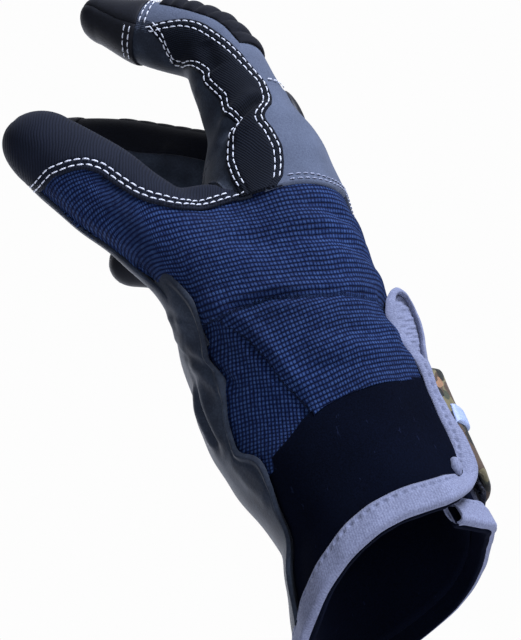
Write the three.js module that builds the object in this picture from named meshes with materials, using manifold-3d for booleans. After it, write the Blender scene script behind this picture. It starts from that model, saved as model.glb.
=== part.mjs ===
// A right-hand assembly glove, kept in the curl that it takes when worn, hollow from the wrist to the tips.
//
// Millimetres. The origin is the centre of the wrist opening. +Z runs up the hand, +X points to the back of
// the hand, so the palm faces -X, and -Y is the thumb's side.
//
// Every limb is an elliptical tube round a centreline that bends in one plane. The hand is a stack of rounded
// sections. Their union less the same forms one wall thinner is a shell, and each sewn piece is a region of
// that shell, cut out by outlines that are drawn from the thumb's side (x, z), from behind (y, z) or from
// above (x, y) and carried straight through. Trims and pads are offset copies of the same forms.

import * as THREE from "three";
import { mergeVertices } from "three/addons/utils/BufferGeometryUtils.js";
import Module from "manifold-3d";

const wasm = await Module();
wasm.setup();

// Driving dimensions
const WALL = 1.6; // cloth or leather with its lining
const GAP = 0.3; // between neighbouring pieces
const FAR = 90; // reach of a cutter past the glove
const BEND_REACH = 13; // a joint bends over this length to each side of its middle
const ROOT = 10; // rounding of a finger's root inside the hand
const CROWN = 9; // rounding of the hand's top between the fingers
const SQUARENESS = 2.5; // exponent of the hand's sections: 2 is an ellipse
const LIMB_SIDES = 12;
const HAND_SIDES = 22;
const TIP_STEPS = [0, 0.5, 0.85]; // rings of a rounded end, as shares of its length
const CROWN_STEPS = [0.5, 0.8, 0.95];
const FULL_BEND = 15; // degrees between two rows that call for a ring between them

const BINDING = { thick: 1.1, wide: 8, slitWide: 6 }; // folded tape over a raw edge
const TAB = { under: 1.9, thick: 2.2 };
const LOOP_PATCH_THICK = 1.3;
const TAB_PATCH_THICK = 1.2;
const KNUCKLE_PAD = { s: 13, turn: 108, long: 11, wide: 8, high: 2.6 };

// The hand's sections up the Z axis: centre, half width across Y and half depth across X
const HAND = [
  { z: -24, x: 0, y: 0, wide: 36, deep: 30 },
  { z: 0, x: 0, y: 0, wide: 35, deep: 29 },
  { z: 20, x: 0.5, y: 0, wide: 33, deep: 27.5 },
  { z: 45, x: -2.5, y: 0, wide: 33, deep: 29.5 },
  { z: 60, x: -2.4, y: -0.6, wide: 36.2, deep: 31 },
  { z: 69, x: -2, y: -1, wide: 36.4, deep: 29.8 }, // the crease across the hand from the thumb's root
  { z: 79, x: -1, y: -0.6, wide: 39.9, deep: 30.8 },
  { z: 95, x: 1.5, y: 0, wide: 43, deep: 28.5 },
  { z: 124, x: 10, y: 0, wide: 43, deep: 19 },
];

// Each finger: knuckle, lean towards the palm and towards the thumb in degrees, joints, length and half sizes
const FINGERS = {
  index: {
    base: [11.5, -29, 119], lean: 0, spread: 4, length: 90,
    bends: [{ at: 45, angle: 50 }, { at: 68, angle: 12 }],
    rows: [
      { s: 0, wide: 13, deep: 14.5 },
      { s: 20, wide: 12.5, deep: 13.5 },
      { s: 46, wide: 11.5, deep: 12 },
      { s: 68, wide: 10, deep: 9.5 },
      { s: 82, wide: 8.3, deep: 7 },
    ],
  },
  middle: {
    base: [13, -8, 122], lean: 48, spread: 0, length: 89,
    bends: [{ at: 46, angle: 8 }, { at: 72, angle: 6 }],
    rows: [
      { s: 0, wide: 12, deep: 13.5 },
      { s: 25, wide: 11.5, deep: 12.5 },
      { s: 48, wide: 11, deep: 11.5 },
      { s: 70, wide: 10, deep: 9.5 },
      { s: 80, wide: 9, deep: 8 },
    ],
  },
  ring: {
    base: [13, 12, 119], lean: 52, spread: -2, length: 76,
    bends: [{ at: 42, angle: 8 }, { at: 62, angle: 10 }],
    rows: [
      { s: 0, wide: 11.5, deep: 13 },
      { s: 25, wide: 11, deep: 12 },
      { s: 42, wide: 10.5, deep: 11 },
      { s: 60, wide: 9.5, deep: 9 },
      { s: 68, wide: 8.5, deep: 8 },
    ],
  },
  little: {
    base: [8, 31, 110], lean: 48, spread: -6, length: 68,
    bends: [{ at: 34, angle: 12 }, { at: 52, angle: 12 }],
    rows: [
      { s: 0, wide: 10.5, deep: 12 },
      { s: 20, wide: 10, deep: 11 },
      { s: 34, wide: 9.5, deep: 10 },
      { s: 52, wide: 8.5, deep: 8.5 },
      { s: 60, wide: 8, deep: 7.5 },
    ],
  },
};
const THUMB = {
  base: [-4, -20, 68], along: [-0.43, -0.5, 0.75], palmward: [-0.9, 0.15, -0.4], length: 95,
  bends: [{ at: 44, angle: 6 }, { at: 72, angle: 6 }],
  rows: [
    { s: 0, wide: 18, deep: 19 },
    { s: 30, wide: 15, deep: 15.5 },
    { s: 50, wide: 13, deep: 13 },
    { s: 72, wide: 12.5, deep: 12.5 },
    { s: 86, wide: 11, deep: 11 },
  ],
};

// Where neighbouring fingers press together: y at the knuckles, and how far it drifts per mm towards the palm
const PRESSED = {
  index: { below: null, above: { y: -18.5, drift: 0 } },
  middle: { below: { y: -18.5, drift: 0 }, above: { y: 2, drift: 0 } },
  ring: { below: { y: 2, drift: 0 }, above: { y: 21.5, drift: 0.07 } },
  little: { below: { y: 21.5, drift: 0.07 }, above: null },
};
const STUB = 16; // a curled finger's own pieces start this far along it
const CAP = 21; // length of a fingertip cap
const PAST_TIP = 5; // a finger's cutters run this far past its end
const REACH = 30; // and this far out from its centreline

// Seams on the thumb's side, as (x, z)
const PALM_HEM = [
  [-24.6, -30], [-24.6, 7], [-21.5, 22], [-19.8, 29], [-20.4, 35], [-25, 43],
  [-24.5, 49], [-21, 56], [-23, 64], [-22.5, 70], [-20.6, 76], [-22.3, 82], [-26.6, 88],
];
const THUMB_LEATHER_SEAM = [[-26.6, 88], [-33, 96], [-41, 105], [-48.6, 113], [-52, 121]];
const THUMB_CAP_SEAM = [
  [-60, 108], [-47, 116.5], [-41.5, 117.5], [-35, 117.4], [-30.8, 115.5], [-27, 112],
  [-22, 106.7], [-18, 104.2], [-9, 104], [-0.5, 104.5],
];
const CUFF_SEAM = [[-20.4, 35], [-11.5, 38], [-4, 42.5], [4.5, 43.5], [18.4, 44.6], [60, 47]];
const SIDE_PANEL_BACK_SEAM = [
  [12, 104], [15.4, 110], [16, 116], [16.8, 124], [19.4, 133], [18.5, 138],
  [15.5, 148], [12, 160], [3, 170], [-7, 174.7],
];
const SIDE_PANEL_PALM_SEAM = [
  [-7, 174.7], [-4.3, 169], [-2.4, 162], [3.3, 147], [5.2, 135], [4.4, 123], [-0.5, 104.5],
];
const SIDE_PANEL_FROM_Y = -34; // the side panel stays on the thumb's side of the finger
const THUMB_FROM_Y = -28; // the thumb's own pieces stay on its side of the palm
const BACK_SEAM_Z = 103.5;
const BACK_PANEL_TOP_Z = 137;

// The wrist's lower edge, as z at the palm side and rise per mm towards the back
const RIM = { palmX: -24, palmZ: -10, nearRise: 0.43, farRise: 0.2, stepY: -5 };
// On the back of the cuff, seen from behind as (y, z): the slit with its teardrop top, and what closes it
const SLIT = [
  [-7, -30], [-9.5, 20], [-12, 48], [-14.5, 58], [-13, 66], [-9.5, 68],
  [-7, 64], [-7, 56], [-7.5, 48], [-4, 20], [1, -30],
];
const SLIT_Y = -8;
const BACK_FROM_X = 5; // cuts from behind stop short of the palm
const LOOP_PATCH = [[4, 10], [22, 12], [22, 38], [4, 35]];
const TAB_OUTLINE = [
  [-17, 24], [-16, 42], [2, 38], [14, 34], [18, 28], [16, 20], [12, 15], [0, 14], [-12, 17],
];
const TAB_PATCH = [[-3, 20], [7, 19], [8, 31], [-2, 33]];

const RIB_STRIPS = {
  index: { from: 24, to: 58, count: 6 },
  middle: { from: 28, to: 56, count: 4 },
  ring: { from: 26, to: 50, count: 4 },
  little: { from: 22, to: 42, count: 3 },
};
const RIB = { edge: 0.7, base: 1, high: 1.5, halfTurn: 42 };

const COLOURS = {
  knit: { color: "#22305c", roughness: 0.85 },
  neoprene: { color: "#14161f", roughness: 0.8 },
  palm: { color: "#2a2d38", roughness: 0.7 },
  grey: { color: "#6d768e", roughness: 0.8 },
  black: { color: "#17191f", roughness: 0.75 },
  binding: { color: "#868fb2", roughness: 0.8 },
  camouflage: { color: "#4b4a38", roughness: 0.85 },
  patch: { color: "#a9b6d8", roughness: 0.5 },
};

const radians = THREE.MathUtils.degToRad;
const vector = (xyz) => new THREE.Vector3(...xyz);

// Smooth value of one column of a table at a key, by a cubic through the rows that keeps their slopes
function between(rows, key, column, at) {
  const last = rows.length - 1;
  const held = THREE.MathUtils.clamp(at, rows[0][key], rows[last][key]);
  let i = 0;
  while (i < last - 1 && rows[i + 1][key] < held) i += 1;
  const slope = (j) => {
    const a = rows[Math.max(j - 1, 0)];
    const b = rows[Math.min(j + 1, last)];
    return (b[column] - a[column]) / (b[key] - a[key]);
  };
  const step = rows[i + 1][key] - rows[i][key];
  const t = (held - rows[i][key]) / step;
  return (
    (1 + 2 * t) * (1 - t) ** 2 * rows[i][column] +
    t * (1 - t) ** 2 * step * slope(i) +
    t * t * (3 - 2 * t) * rows[i + 1][column] -
    t * t * (1 - t) * step * slope(i + 1)
  );
}

// A limb with its starting directions: along it, and towards the palm
function limb(table) {
  const along = table.along
    ? vector(table.along).normalize()
    : new THREE.Vector3(-Math.sin(radians(table.lean)), 0, Math.cos(radians(table.lean)))
        .multiplyScalar(Math.cos(radians(table.spread)))
        .add(new THREE.Vector3(0, -Math.sin(radians(table.spread)), 0));
  const palmward = table.palmward
    ? vector(table.palmward)
    : new THREE.Vector3(-Math.cos(radians(table.lean)), 0, -Math.sin(radians(table.lean)));
  palmward.addScaledVector(along, -palmward.dot(along)).normalize();
  return { ...table, along, palmward };
}

// The frame of a limb at arc length s: centre, direction, back and side
function frameAt(member, s) {
  const bendAt = (q) => {
    let turn = 0;
    for (const { at, angle } of member.bends)
      turn += radians(angle) * THREE.MathUtils.smoothstep(q, at - BEND_REACH, at + BEND_REACH);
    return turn;
  };
  const turned = (first, second, turn) =>
    first.clone().multiplyScalar(Math.cos(turn)).addScaledVector(second, Math.sin(turn));
  const headingAt = (q) => turned(member.along, member.palmward, bendAt(q));
  const centre = vector(member.base);
  const steps = Math.max(1, Math.ceil(Math.abs(s) / 2));
  for (let i = 0; i < steps; i += 1) centre.addScaledVector(headingAt((s * (i + 0.5)) / steps), s / steps);
  const heading = headingAt(s);
  const back = turned(member.palmward, member.along, -bendAt(s)).negate();
  return { centre, heading, back, side: back.clone().cross(heading) };
}

// A rounded tip is a little longer than it is thick
function tipLength(member) {
  const lastRow = member.rows[member.rows.length - 1];
  return ((lastRow.wide + lastRow.deep) / 2) * 1.15;
}

// The point of a limb's surface at an arc length and turn: 0 at its thumb side, 90 on its back
function surfaceAt(member, s, turn, offset = 0) {
  const { centre, back, side } = frameAt(member, s);
  const tip = tipLength(member);
  const past = s < 0 ? -s / ROOT : Math.max(0, (s - member.length + tip) / (tip + offset));
  const shrink = Math.sqrt(Math.max(0, 1 - past * past));
  const wide = (between(member.rows, "s", "wide", s) + offset) * shrink;
  const deep = (between(member.rows, "s", "deep", s) + offset) * shrink;
  return centre.addScaledVector(side, wide * Math.cos(turn)).addScaledVector(back, deep * Math.sin(turn));
}

// A closed skin over rings of equal count, each running counterclockwise seen from the last ring
function loft(rings) {
  const count = rings[0].length;
  const centreOf = (ring) => ring.reduce((sum, p) => sum.add(p), new THREE.Vector3()).divideScalar(count);
  const points = [...rings.flat(), centreOf(rings[0]), centreOf(rings[rings.length - 1])];
  const first = rings.length * count;
  const faces = [];
  rings.forEach((_, i) => {
    for (let j = 0; j < count; j += 1) {
      const k = (j + 1) % count;
      const [a, b] = [i * count + j, i * count + k];
      if (i === 0) faces.push(first, b, a);
      if (i === rings.length - 1) faces.push(first + 1, a, b);
      else faces.push(a, b, b + count, a, b + count, a + count);
    }
  });
  return solid(new THREE.BufferGeometry().setFromPoints(points).setIndex(faces));
}

// A closed mesh as a solid that can be joined and cut
function solid(geometry) {
  geometry.deleteAttribute("normal");
  geometry.deleteAttribute("uv");
  const merged = mergeVertices(geometry, 1e-4);
  return new wasm.Manifold(
    new wasm.Mesh({
      numProp: 3,
      vertProperties: new Float32Array(merged.attributes.position.array),
      triVerts: new Uint32Array(merged.index.array),
    }),
  );
}

const joined = (solids) => solids.reduce((sum, s) => sum.add(s));

// The rings' places along a limb: its root, its rows, the middle of a strong bend, and its rounded tip
function stations(member, offset) {
  const tip = tipLength(member);
  const end = member.length - tip;
  const shaft = member.rows.slice(0, -1).flatMap((row, i) => {
    const next = member.rows[i + 1];
    const turn = frameAt(member, row.s).heading.angleTo(frameAt(member, next.s).heading);
    return turn > radians(FULL_BEND) ? [row.s, (2 * row.s + next.s) / 3, (row.s + 2 * next.s) / 3] : [row.s];
  });
  const rounded = TIP_STEPS.map((t) => end + t * (tip + offset));
  return [-0.8 * ROOT, ...shaft.filter((s) => s < end - 2), ...rounded];
}

function limbSolid(member, offset) {
  const turns = Array.from({ length: LIMB_SIDES }, (_, j) => (j / LIMB_SIDES) * 2 * Math.PI);
  return loft(stations(member, offset).map((s) => turns.map((turn) => surfaceAt(member, s, turn, offset))));
}

function handSolid(offset) {
  const top = HAND[HAND.length - 1].z;
  const crown = CROWN + offset;
  const heights = [...HAND.map((row) => row.z), ...CROWN_STEPS.map((t) => top + t * crown)];
  const rounded = (v) => Math.sign(v) * Math.abs(v) ** (2 / SQUARENESS);
  const rings = heights.map((z) => {
    const shrink = (1 - (Math.max(0, z - top) / crown) ** SQUARENESS) ** (1 / SQUARENESS);
    const wide = (between(HAND, "z", "wide", z) + offset) * shrink;
    const deep = (between(HAND, "z", "deep", z) + offset) * shrink;
    return Array.from({ length: HAND_SIDES }, (_, j) => {
      const turn = (j / HAND_SIDES) * 2 * Math.PI;
      return new THREE.Vector3(
        between(HAND, "z", "x", z) + deep * rounded(Math.sin(turn)),
        between(HAND, "z", "y", z) - wide * rounded(Math.cos(turn)),
        z,
      );
    });
  });
  return loft(rings);
}

// The points of an outline where it turns, without those along a straight side
function corners(points) {
  return points.filter((point, i) => {
    const into = point.clone().sub(points[(i + points.length - 1) % points.length]).normalize();
    const out = points[(i + 1) % points.length].clone().sub(point).normalize();
    return Math.abs(into.cross(out)) > 1e-3;
  });
}

// An outline carried straight through the glove: (x, z) from the side, (y, z) from behind, (x, y) from above
const VIEWS = {
  side: { u: [1, 0, 0], v: [0, 0, 1], w: [0, -1, 0] },
  behind: { u: [0, 1, 0], v: [0, 0, 1], w: [1, 0, 0] },
  above: { u: [1, 0, 0], v: [0, 1, 0], w: [0, 0, 1] },
};
function prism(view, outline, from = -FAR, to = FAR) {
  const [start, end] = view === "side" ? [-to, -from] : [from, to];
  const { u, v, w } = VIEWS[view];
  const shape = new THREE.Shape(corners(outline.map(([a, b]) => new THREE.Vector2(a, b))));
  const geometry = new THREE.ExtrudeGeometry(shape, { depth: end - start, bevelEnabled: false });
  geometry.translate(0, 0, start);
  geometry.applyMatrix4(new THREE.Matrix4().makeBasis(vector(u), vector(v), vector(w)));
  return solid(geometry);
}

// The outline moved outwards by a distance, with mitred corners
function grown(outline, distance) {
  const points = outline.map(([a, b]) => new THREE.Vector2(a, b));
  const turn = Math.sign(THREE.ShapeUtils.area(points));
  return points.map((point, i) => {
    const before = points[(i + points.length - 1) % points.length];
    const after = points[(i + 1) % points.length];
    const into = point.clone().sub(before).normalize();
    const out = after.clone().sub(point).normalize();
    const normals = [into, out].map((d) => new THREE.Vector2(d.y, -d.x).multiplyScalar(turn));
    const mitre = normals[0].clone().add(normals[1]).normalize();
    const moved = point.clone().addScaledVector(mitre, distance / Math.max(0.4, mitre.dot(normals[0])));
    return [moved.x, moved.y];
  });
}

// The largest body of a cut, without the crumbs that a grazing cut can leave
function mainBody(cut) {
  return cut.decompose().reduce((best, body) => (body.volume() > best.volume() ? body : best));
}

// A finger's centreline in side view between two arc lengths, raised towards its back by a height
function centreline(member, from, to, height = 0) {
  const steps = 8;
  return Array.from({ length: steps + 1 }, (_, i) => {
    const { centre, back } = frameAt(member, from + ((to - from) * i) / steps);
    centre.addScaledVector(back, height);
    return [centre.x, centre.z];
  });
}

// A length of a finger in side view, between two arc lengths and two heights over its centreline
function fingerOutline(member, from, to, low, high) {
  return [...centreline(member, from, to, low), ...centreline(member, from, to, high).reverse()];
}

// The space between two pressed neighbours, kept clear of each by a distance
function slab({ below, above }, distance) {
  const at = (side, x, sign) => (side ? side.y + side.drift * (13 - x) - sign * distance : sign * FAR);
  const edge = (side, sign) => [[-FAR, at(side, -FAR, sign)], [FAR, at(side, FAR, sign)]];
  return prism("above", [...edge(below, -1), ...edge(above, 1).reverse()], -FAR, 3 * FAR);
}

const fingers = Object.fromEntries(Object.entries(FINGERS).map(([name, table]) => [name, limb(table)]));
const thumb = limb(THUMB);
const curled = ["middle", "ring", "little"];

// The glove's whole outer form grown by an offset, and the space inside it
const pressedFinger = (name, offset) =>
  limbSolid(fingers[name], offset).intersect(slab(PRESSED[name], GAP / 2 - offset));
const beyond = (name, s) => prism("side", fingerOutline(fingers[name], s, s + FAR, -FAR / 2, FAR / 2));
const stubOf = (name, offset) => pressedFinger(name, offset).subtract(beyond(name, STUB - GAP / 2));
const bodyForm = (offset) =>
  joined([
    handSolid(offset), limbSolid(thumb, offset), pressedFinger("index", offset),
    ...curled.map((name) => stubOf(name, offset)),
  ]);
const hollow = joined([
  handSolid(-WALL), limbSolid(thumb, -WALL),
  ...Object.keys(fingers).map((name) => pressedFinger(name, -WALL)),
]);

// Everything above the wrist's slanted edge, lowered by a distance
function aboveRim(lower) {
  const line = (rise, y0, y1) => {
    const z = (x) => RIM.palmZ + (x - RIM.palmX) * rise - lower;
    return prism("side", [[-FAR, z(-FAR)], [FAR, z(FAR)], [FAR, 3 * FAR], [-FAR, 3 * FAR]], y0, y1);
  };
  return joined([line(RIM.nearRise, -FAR, RIM.stepY), line(RIM.farRise, RIM.stepY, FAR)]);
}

// The slit, wider than its outline by a margin, cut through the back of the cuff only
const slit = (margin) => prism("behind", grown(SLIT, margin), BACK_FROM_X, FAR);
let remaining = bodyForm(0).subtract(hollow).intersect(aboveRim(0)).subtract(slit(BINDING.thick + GAP));

// Takes a region out of what remains of the shell, and leaves a gap round it
function take(regions) {
  const cutters = (distance) =>
    joined(regions.map(({ view = "side", outline, from = -FAR, to = FAR }) =>
      prism(view, grown(outline, distance), from - distance, to + distance)));
  const piece = mainBody(remaining.intersect(cutters(0)));
  remaining = remaining.subtract(cutters(GAP));
  return piece;
}

const parts = [];
function part(name, body, look) {
  const mesh = body.getMesh();
  const geometry = new THREE.BufferGeometry();
  geometry.setAttribute("position", new THREE.BufferAttribute(mesh.vertProperties, 3));
  geometry.setIndex(new THREE.BufferAttribute(mesh.triVerts, 1));
  geometry.computeVertexNormals();
  const made = new THREE.Mesh(geometry, new THREE.MeshStandardMaterial({ ...COLOURS[look], metalness: 0 }));
  made.name = name;
  parts.push(made);
}

// The index finger: two tip caps, the side panel, the back strip and the palm strip
function indexFinger() {
  const index = fingers.index;
  const tipStart = index.length - CAP;
  const side = { from: -FAR, to: PRESSED.index.above.y };
  const end = index.length + PAST_TIP;
  const tip = (low, high) => ({ outline: fingerOutline(index, tipStart, end, low, high), ...side });
  part("index_tip_back", take([tip(0, REACH)]), "black");
  part("index_tip_palm", take([tip(-REACH, 0)]), "black");
  const sidePanel = [...SIDE_PANEL_BACK_SEAM, ...SIDE_PANEL_PALM_SEAM.slice(1)];
  part("index_side_panel", take([{ outline: sidePanel, from: -FAR, to: SIDE_PANEL_FROM_Y }]), "black");
  const backStrip = [
    [60, BACK_PANEL_TOP_Z], [60, 200], [-60, 200],
    ...centreline(index, BACK_PANEL_TOP_Z - index.base[2], tipStart).reverse(),
  ];
  part("index_back", take([{ outline: backStrip, ...side }]), "grey");
  const palmStrip = [
    [-9, 107], [11.5, 107], ...centreline(index, 0, tipStart), [-60, 190], [-60, 150], [-14, 140], [-9, 112],
  ];
  part("index_palm", take([{ outline: palmStrip, ...side }]), "palm");
}

// The thumb: a cap over its top and tip, and leather under it
function thumbPieces() {
  const side = { from: -FAR, to: THUMB_FROM_Y };
  const cap = [...THUMB_CAP_SEAM, [-0.5, 115], [-30, 170], [-90, 170], [-90, 108]];
  const leather = [...THUMB_LEATHER_SEAM, [-90, 121], [-90, 60], [-46, 77]];
  part("thumb_cap", take([{ outline: cap, ...side }]), "black");
  part("thumb_leather", take([{ outline: leather, ...side }]), "palm");
}

// The hand: grey over the knuckles, leather on the palm, two neoprene cuff flaps and knit for the rest
function handPieces() {
  const backPanel = [
    [11.5, BACK_SEAM_Z], [60, BACK_SEAM_Z - 2], [60, 190], [-30, 190], [1, 132.7], [11.5, 123.5],
  ];
  part("back_panel", take([{ outline: backPanel }]), "grey");
  const cuff = [...CUFF_SEAM, [60, -60], [-24.6, -60], ...PALM_HEM.slice(0, 4)];
  part("cuff_near", take([{ outline: cuff, from: -FAR, to: SLIT_Y }]), "neoprene");
  part("cuff_far", take([{ outline: cuff, from: SLIT_Y, to: FAR }]), "neoprene");
  const palmNear = [...PALM_HEM, [-46, 77], [-90, 60], [-90, -60]];
  const palmFar = [
    ...PALM_HEM.slice(0, -1), [-14, 95], [-2, 108], [8, 122], [-20, 160], [-90, 160], [-90, -60],
  ];
  part("palm_leather", take([
    { outline: palmNear, from: -FAR, to: THUMB_FROM_Y + GAP },
    { outline: palmFar, from: THUMB_FROM_Y, to: FAR },
  ]), "palm");
  part("back_knit", mainBody(remaining), "knit");
}

// A curled finger: its shell beyond the stub, split into back and palm and again at the tip cap
function curledFinger(name) {
  const finger = fingers[name];
  const tipStart = finger.length - CAP;
  remaining = pressedFinger(name, 0)
    .intersect(beyond(name, STUB + GAP / 2))
    .subtract(bodyForm(GAP))
    .subtract(hollow);
  const half = (from, to, low, high) => ({ outline: fingerOutline(finger, from, to, low, high) });
  part(`${name}_tip_back`, take([half(tipStart, finger.length + PAST_TIP, 0, REACH)]), "black");
  part(`${name}_tip_palm`, take([half(tipStart, finger.length + PAST_TIP, -REACH, 0)]), "black");
  part(`${name}_back`, take([half(0, tipStart + PAST_TIP, 0, REACH)]), "black");
  part(`${name}_palm`, mainBody(remaining), "palm");
}

// A strip of padded ribs over a finger's joint, as one skin: low between the ribs and rounded over each
function ribStrip(name) {
  const { from, to, count } = RIB_STRIPS[name];
  const stepsPerRib = 3;
  const across = 4;
  const steps = count * stepsPerRib;
  const rings = Array.from({ length: steps + 1 }, (_, i) => {
    const s = from + ((to - from) * i) / steps;
    const rise = RIB.base + RIB.high * Math.abs(Math.sin((i / stepsPerRib) * Math.PI)) ** 0.7;
    const arc = (offset) =>
      Array.from({ length: across + 1 }, (_, j) => {
        const turn = radians(90 + RIB.halfTurn * ((2 * j) / across - 1));
        const edge = 1 - Math.abs((2 * j) / across - 1) ** 4;
        return surfaceAt(fingers[name], s, turn, offset < 0 ? offset : RIB.edge + (offset - RIB.edge) * edge);
      });
    return [...arc(rise), ...arc(-RIB.edge).reverse()];
  });
  const cloth = bodyForm(GAP).add(pressedFinger(name, GAP));
  part(`${name}_ribs`, mainBody(loft(rings).subtract(cloth)), "black");
}

// An oval pad on the index knuckle, domed over the grey panel
function knucklePad() {
  const { s, turn, long, wide, high } = KNUCKLE_PAD;
  const { heading, back, side } = frameAt(fingers.index, s);
  const out = side.multiplyScalar(Math.cos(radians(turn))).addScaledVector(back, Math.sin(radians(turn)));
  const across = out.clone().cross(heading);
  const seat = surfaceAt(fingers.index, s, radians(turn));
  const dome = new THREE.SphereGeometry(1, 14, 8).scale(long, wide, high + 1);
  dome.applyMatrix4(new THREE.Matrix4().makeBasis(heading, across, out).setPosition(seat));
  part("knuckle_pad", mainBody(solid(dome).subtract(bodyForm(GAP))), "black");
}

// Folded tape over the wrist's edge and round the slit: two skins joined past the raw edge
function bindings() {
  const tape = handSolid(GAP + BINDING.thick).subtract(handSolid(-WALL - GAP - BINDING.thick));
  const cloth = handSolid(GAP).subtract(handSolid(-WALL - GAP)).subtract(slit(BINDING.thick));
  const rimTape = tape
    .intersect(aboveRim(GAP + BINDING.thick).subtract(aboveRim(-BINDING.wide)))
    .subtract(cloth.intersect(aboveRim(GAP)))
    .subtract(slit(GAP));
  const nearSide = (margin) =>
    prism("above", [[-FAR, -FAR], [FAR, -FAR], [FAR, SLIT_Y + margin], [-FAR, margin]]);
  part("wrist_binding_near", mainBody(rimTape.intersect(nearSide(0))), "binding");
  part("wrist_binding_far", mainBody(rimTape.subtract(nearSide(GAP))), "binding");
  const slitTape = tape
    .intersect(slit(BINDING.slitWide))
    .intersect(aboveRim(-BINDING.wide - GAP))
    .subtract(slit(0))
    .subtract(cloth);
  part("slit_binding", mainBody(slitTape), "binding");
}

// A plate that follows the back of the wrist, seen from behind, between two heights over the cloth
function wristPlate(outline, low, high) {
  const skin = handSolid(high).subtract(handSolid(low));
  return mainBody(skin.intersect(prism("behind", outline, BACK_FROM_X, FAR)));
}

function closure() {
  part("loop_patch", wristPlate(LOOP_PATCH, GAP, GAP + LOOP_PATCH_THICK), "black");
  const top = TAB.under + TAB.thick;
  part("closure_tab", wristPlate(TAB_OUTLINE, TAB.under, top), "camouflage");
  part("tab_patch", wristPlate(TAB_PATCH, top + GAP, top + GAP + TAB_PATCH_THICK), "patch");
}

indexFinger();
thumbPieces();
handPieces();
curled.forEach(curledFinger);
Object.keys(RIB_STRIPS).forEach(ribStrip);
knucklePad();
bindings();
closure();

const glove = new THREE.Group();
glove.add(...parts);

export default glove;
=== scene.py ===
"""An assembly glove of knit, leather, woven reinforcement and neoprene, held in the shape that it takes when worn.

Lengths in the making are millimetres and become metres where a mesh is made. The glove's form is a distance
field: a hand of rounded sections joined smoothly to five bent limbs. Every sewn piece is a grid of points
laid on that form, lifted by its layer's height and by the folds of the cloth.
"""

import bpy
import numpy as np
from mathutils import Matrix


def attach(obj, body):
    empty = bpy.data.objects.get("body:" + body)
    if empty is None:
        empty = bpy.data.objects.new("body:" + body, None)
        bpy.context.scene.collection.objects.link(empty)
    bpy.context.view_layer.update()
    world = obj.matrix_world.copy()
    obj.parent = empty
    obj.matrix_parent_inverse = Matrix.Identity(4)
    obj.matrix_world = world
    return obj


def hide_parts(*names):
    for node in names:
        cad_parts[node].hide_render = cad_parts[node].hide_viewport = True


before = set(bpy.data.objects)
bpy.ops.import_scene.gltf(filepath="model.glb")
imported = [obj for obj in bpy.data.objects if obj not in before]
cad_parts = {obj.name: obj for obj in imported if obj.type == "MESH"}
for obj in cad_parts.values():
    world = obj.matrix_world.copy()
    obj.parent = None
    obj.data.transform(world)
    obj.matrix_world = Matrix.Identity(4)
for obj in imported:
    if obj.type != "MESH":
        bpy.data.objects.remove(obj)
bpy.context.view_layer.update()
MM = 0.001

# ---- The form ----
BEND_REACH = 13.0  # a joint bends over this length to each side of its middle
ROOT = 10.0  # rounding of a limb's root
CROWN = 9.0  # rounding of the hand's top
SQUARENESS = 2.5  # exponent of the hand's sections
WEB_THUMB, WEB_FINGER, WEB_BETWEEN, WEB_RIDGE = 12.0, 7.0, 1.0, 5.0  # how widely the limbs blend in, mm
WEB_MIDDLE, WEB_HALF = np.array([-12.0, -41, 106.5]), np.array([8.0, 4.5, 6])  # the web's ridge
LIMB_GIRTH, LIMB_NEAR = 28.0, 22.0  # a limb's rough radius, and how near to it its distance is worked out exactly
MARCH = 34  # steps of a ray towards the form
OUTSIDE, BEHIND, BESIDE = 85, 75, -88  # where rays start: off the pivot, behind the hand, and at the thumb's side

# rows: arc length, half width, half depth
LIMBS = {
    "index": dict(base=(11.5, -29, 119), lean=0, spread=4, length=88, bends=[(45, 55), (68, -12)],
                  rows=[(0, 13, 13.7), (20, 12.5, 12.8), (46, 11.5, 10.6), (57, 10.8, 10.5), (68, 9.6, 8.6),
                        (80, 8, 5.9)]),
    "middle": dict(base=(13, -8, 122), lean=48, spread=0, length=89, bends=[(46, 8), (72, 6)],
                   rows=[(0, 12, 13.5), (25, 11.5, 12.5), (48, 11, 11.5), (70, 10, 9.5), (80, 9, 8)]),
    "ring": dict(base=(13, 12, 119), lean=52, spread=-2, length=76, bends=[(42, 8), (62, 10)],
                 rows=[(0, 11.5, 13), (25, 11, 12), (42, 10.5, 11), (60, 9.5, 9), (68, 8.5, 8)]),
    "little": dict(base=(8, 31, 112), lean=47, spread=-6, length=68, bends=[(34, 12), (52, 12)],
                   rows=[(0, 10.5, 12), (20, 10, 11), (34, 9.5, 10), (52, 8.5, 8.5), (60, 8, 7.5)]),
    "thumb": dict(base=(-3.1, -20.1, 68.4), along=(-.43, -.5, .75), palmward=(-.9, .15, -.4), length=95,
                  bends=[(44, 6), (72, 1)],
                  rows=[(0, 17.5, 17.4), (30, 15, 13.3), (50, 12.8, 11.7), (72, 12.1, 11.1), (86, 10.5, 8.9)]),
}
# height, centre across the palm, centre across the knuckles, half width, half depth
HAND = np.array([
    (-24, -1.8, 0, 36, 31.4), (0, .4, 0, 35, 29.2), (9, 1.2, 0, 34, 27.8), (20, 1.9, 0, 33, 26.4),
    (45, -1.6, 0, 33, 30.2), (60, -2.2, -.6, 36.2, 31.4), (69, -2.2, -1, 36.4, 30), (79, -1.2, -.6, 39.9, 31),
    (88, 1.2, -.3, 41.6, 28.1), (95, 2.6, 0, 43, 27.4), (124, 10.5, 0, 43, 19.5)], float)
# where neighbouring fingers press together: lower and upper y at the knuckles, and drift per mm towards the palm
PRESSED = {"index": (-99, -18.6, 0, 0), "middle": (-18.4, 1.9, 0, 0), "ring": (2.1, 21.4, 0, .07),
           "little": (21.6, 99, .07, 0)}


def unit(v):
    v = np.asarray(v, float)
    return v / np.linalg.norm(v, axis=-1, keepdims=True)


def smooth(t):
    t = np.clip(t, 0, 1)
    return t * t * (3 - 2 * t)


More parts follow.
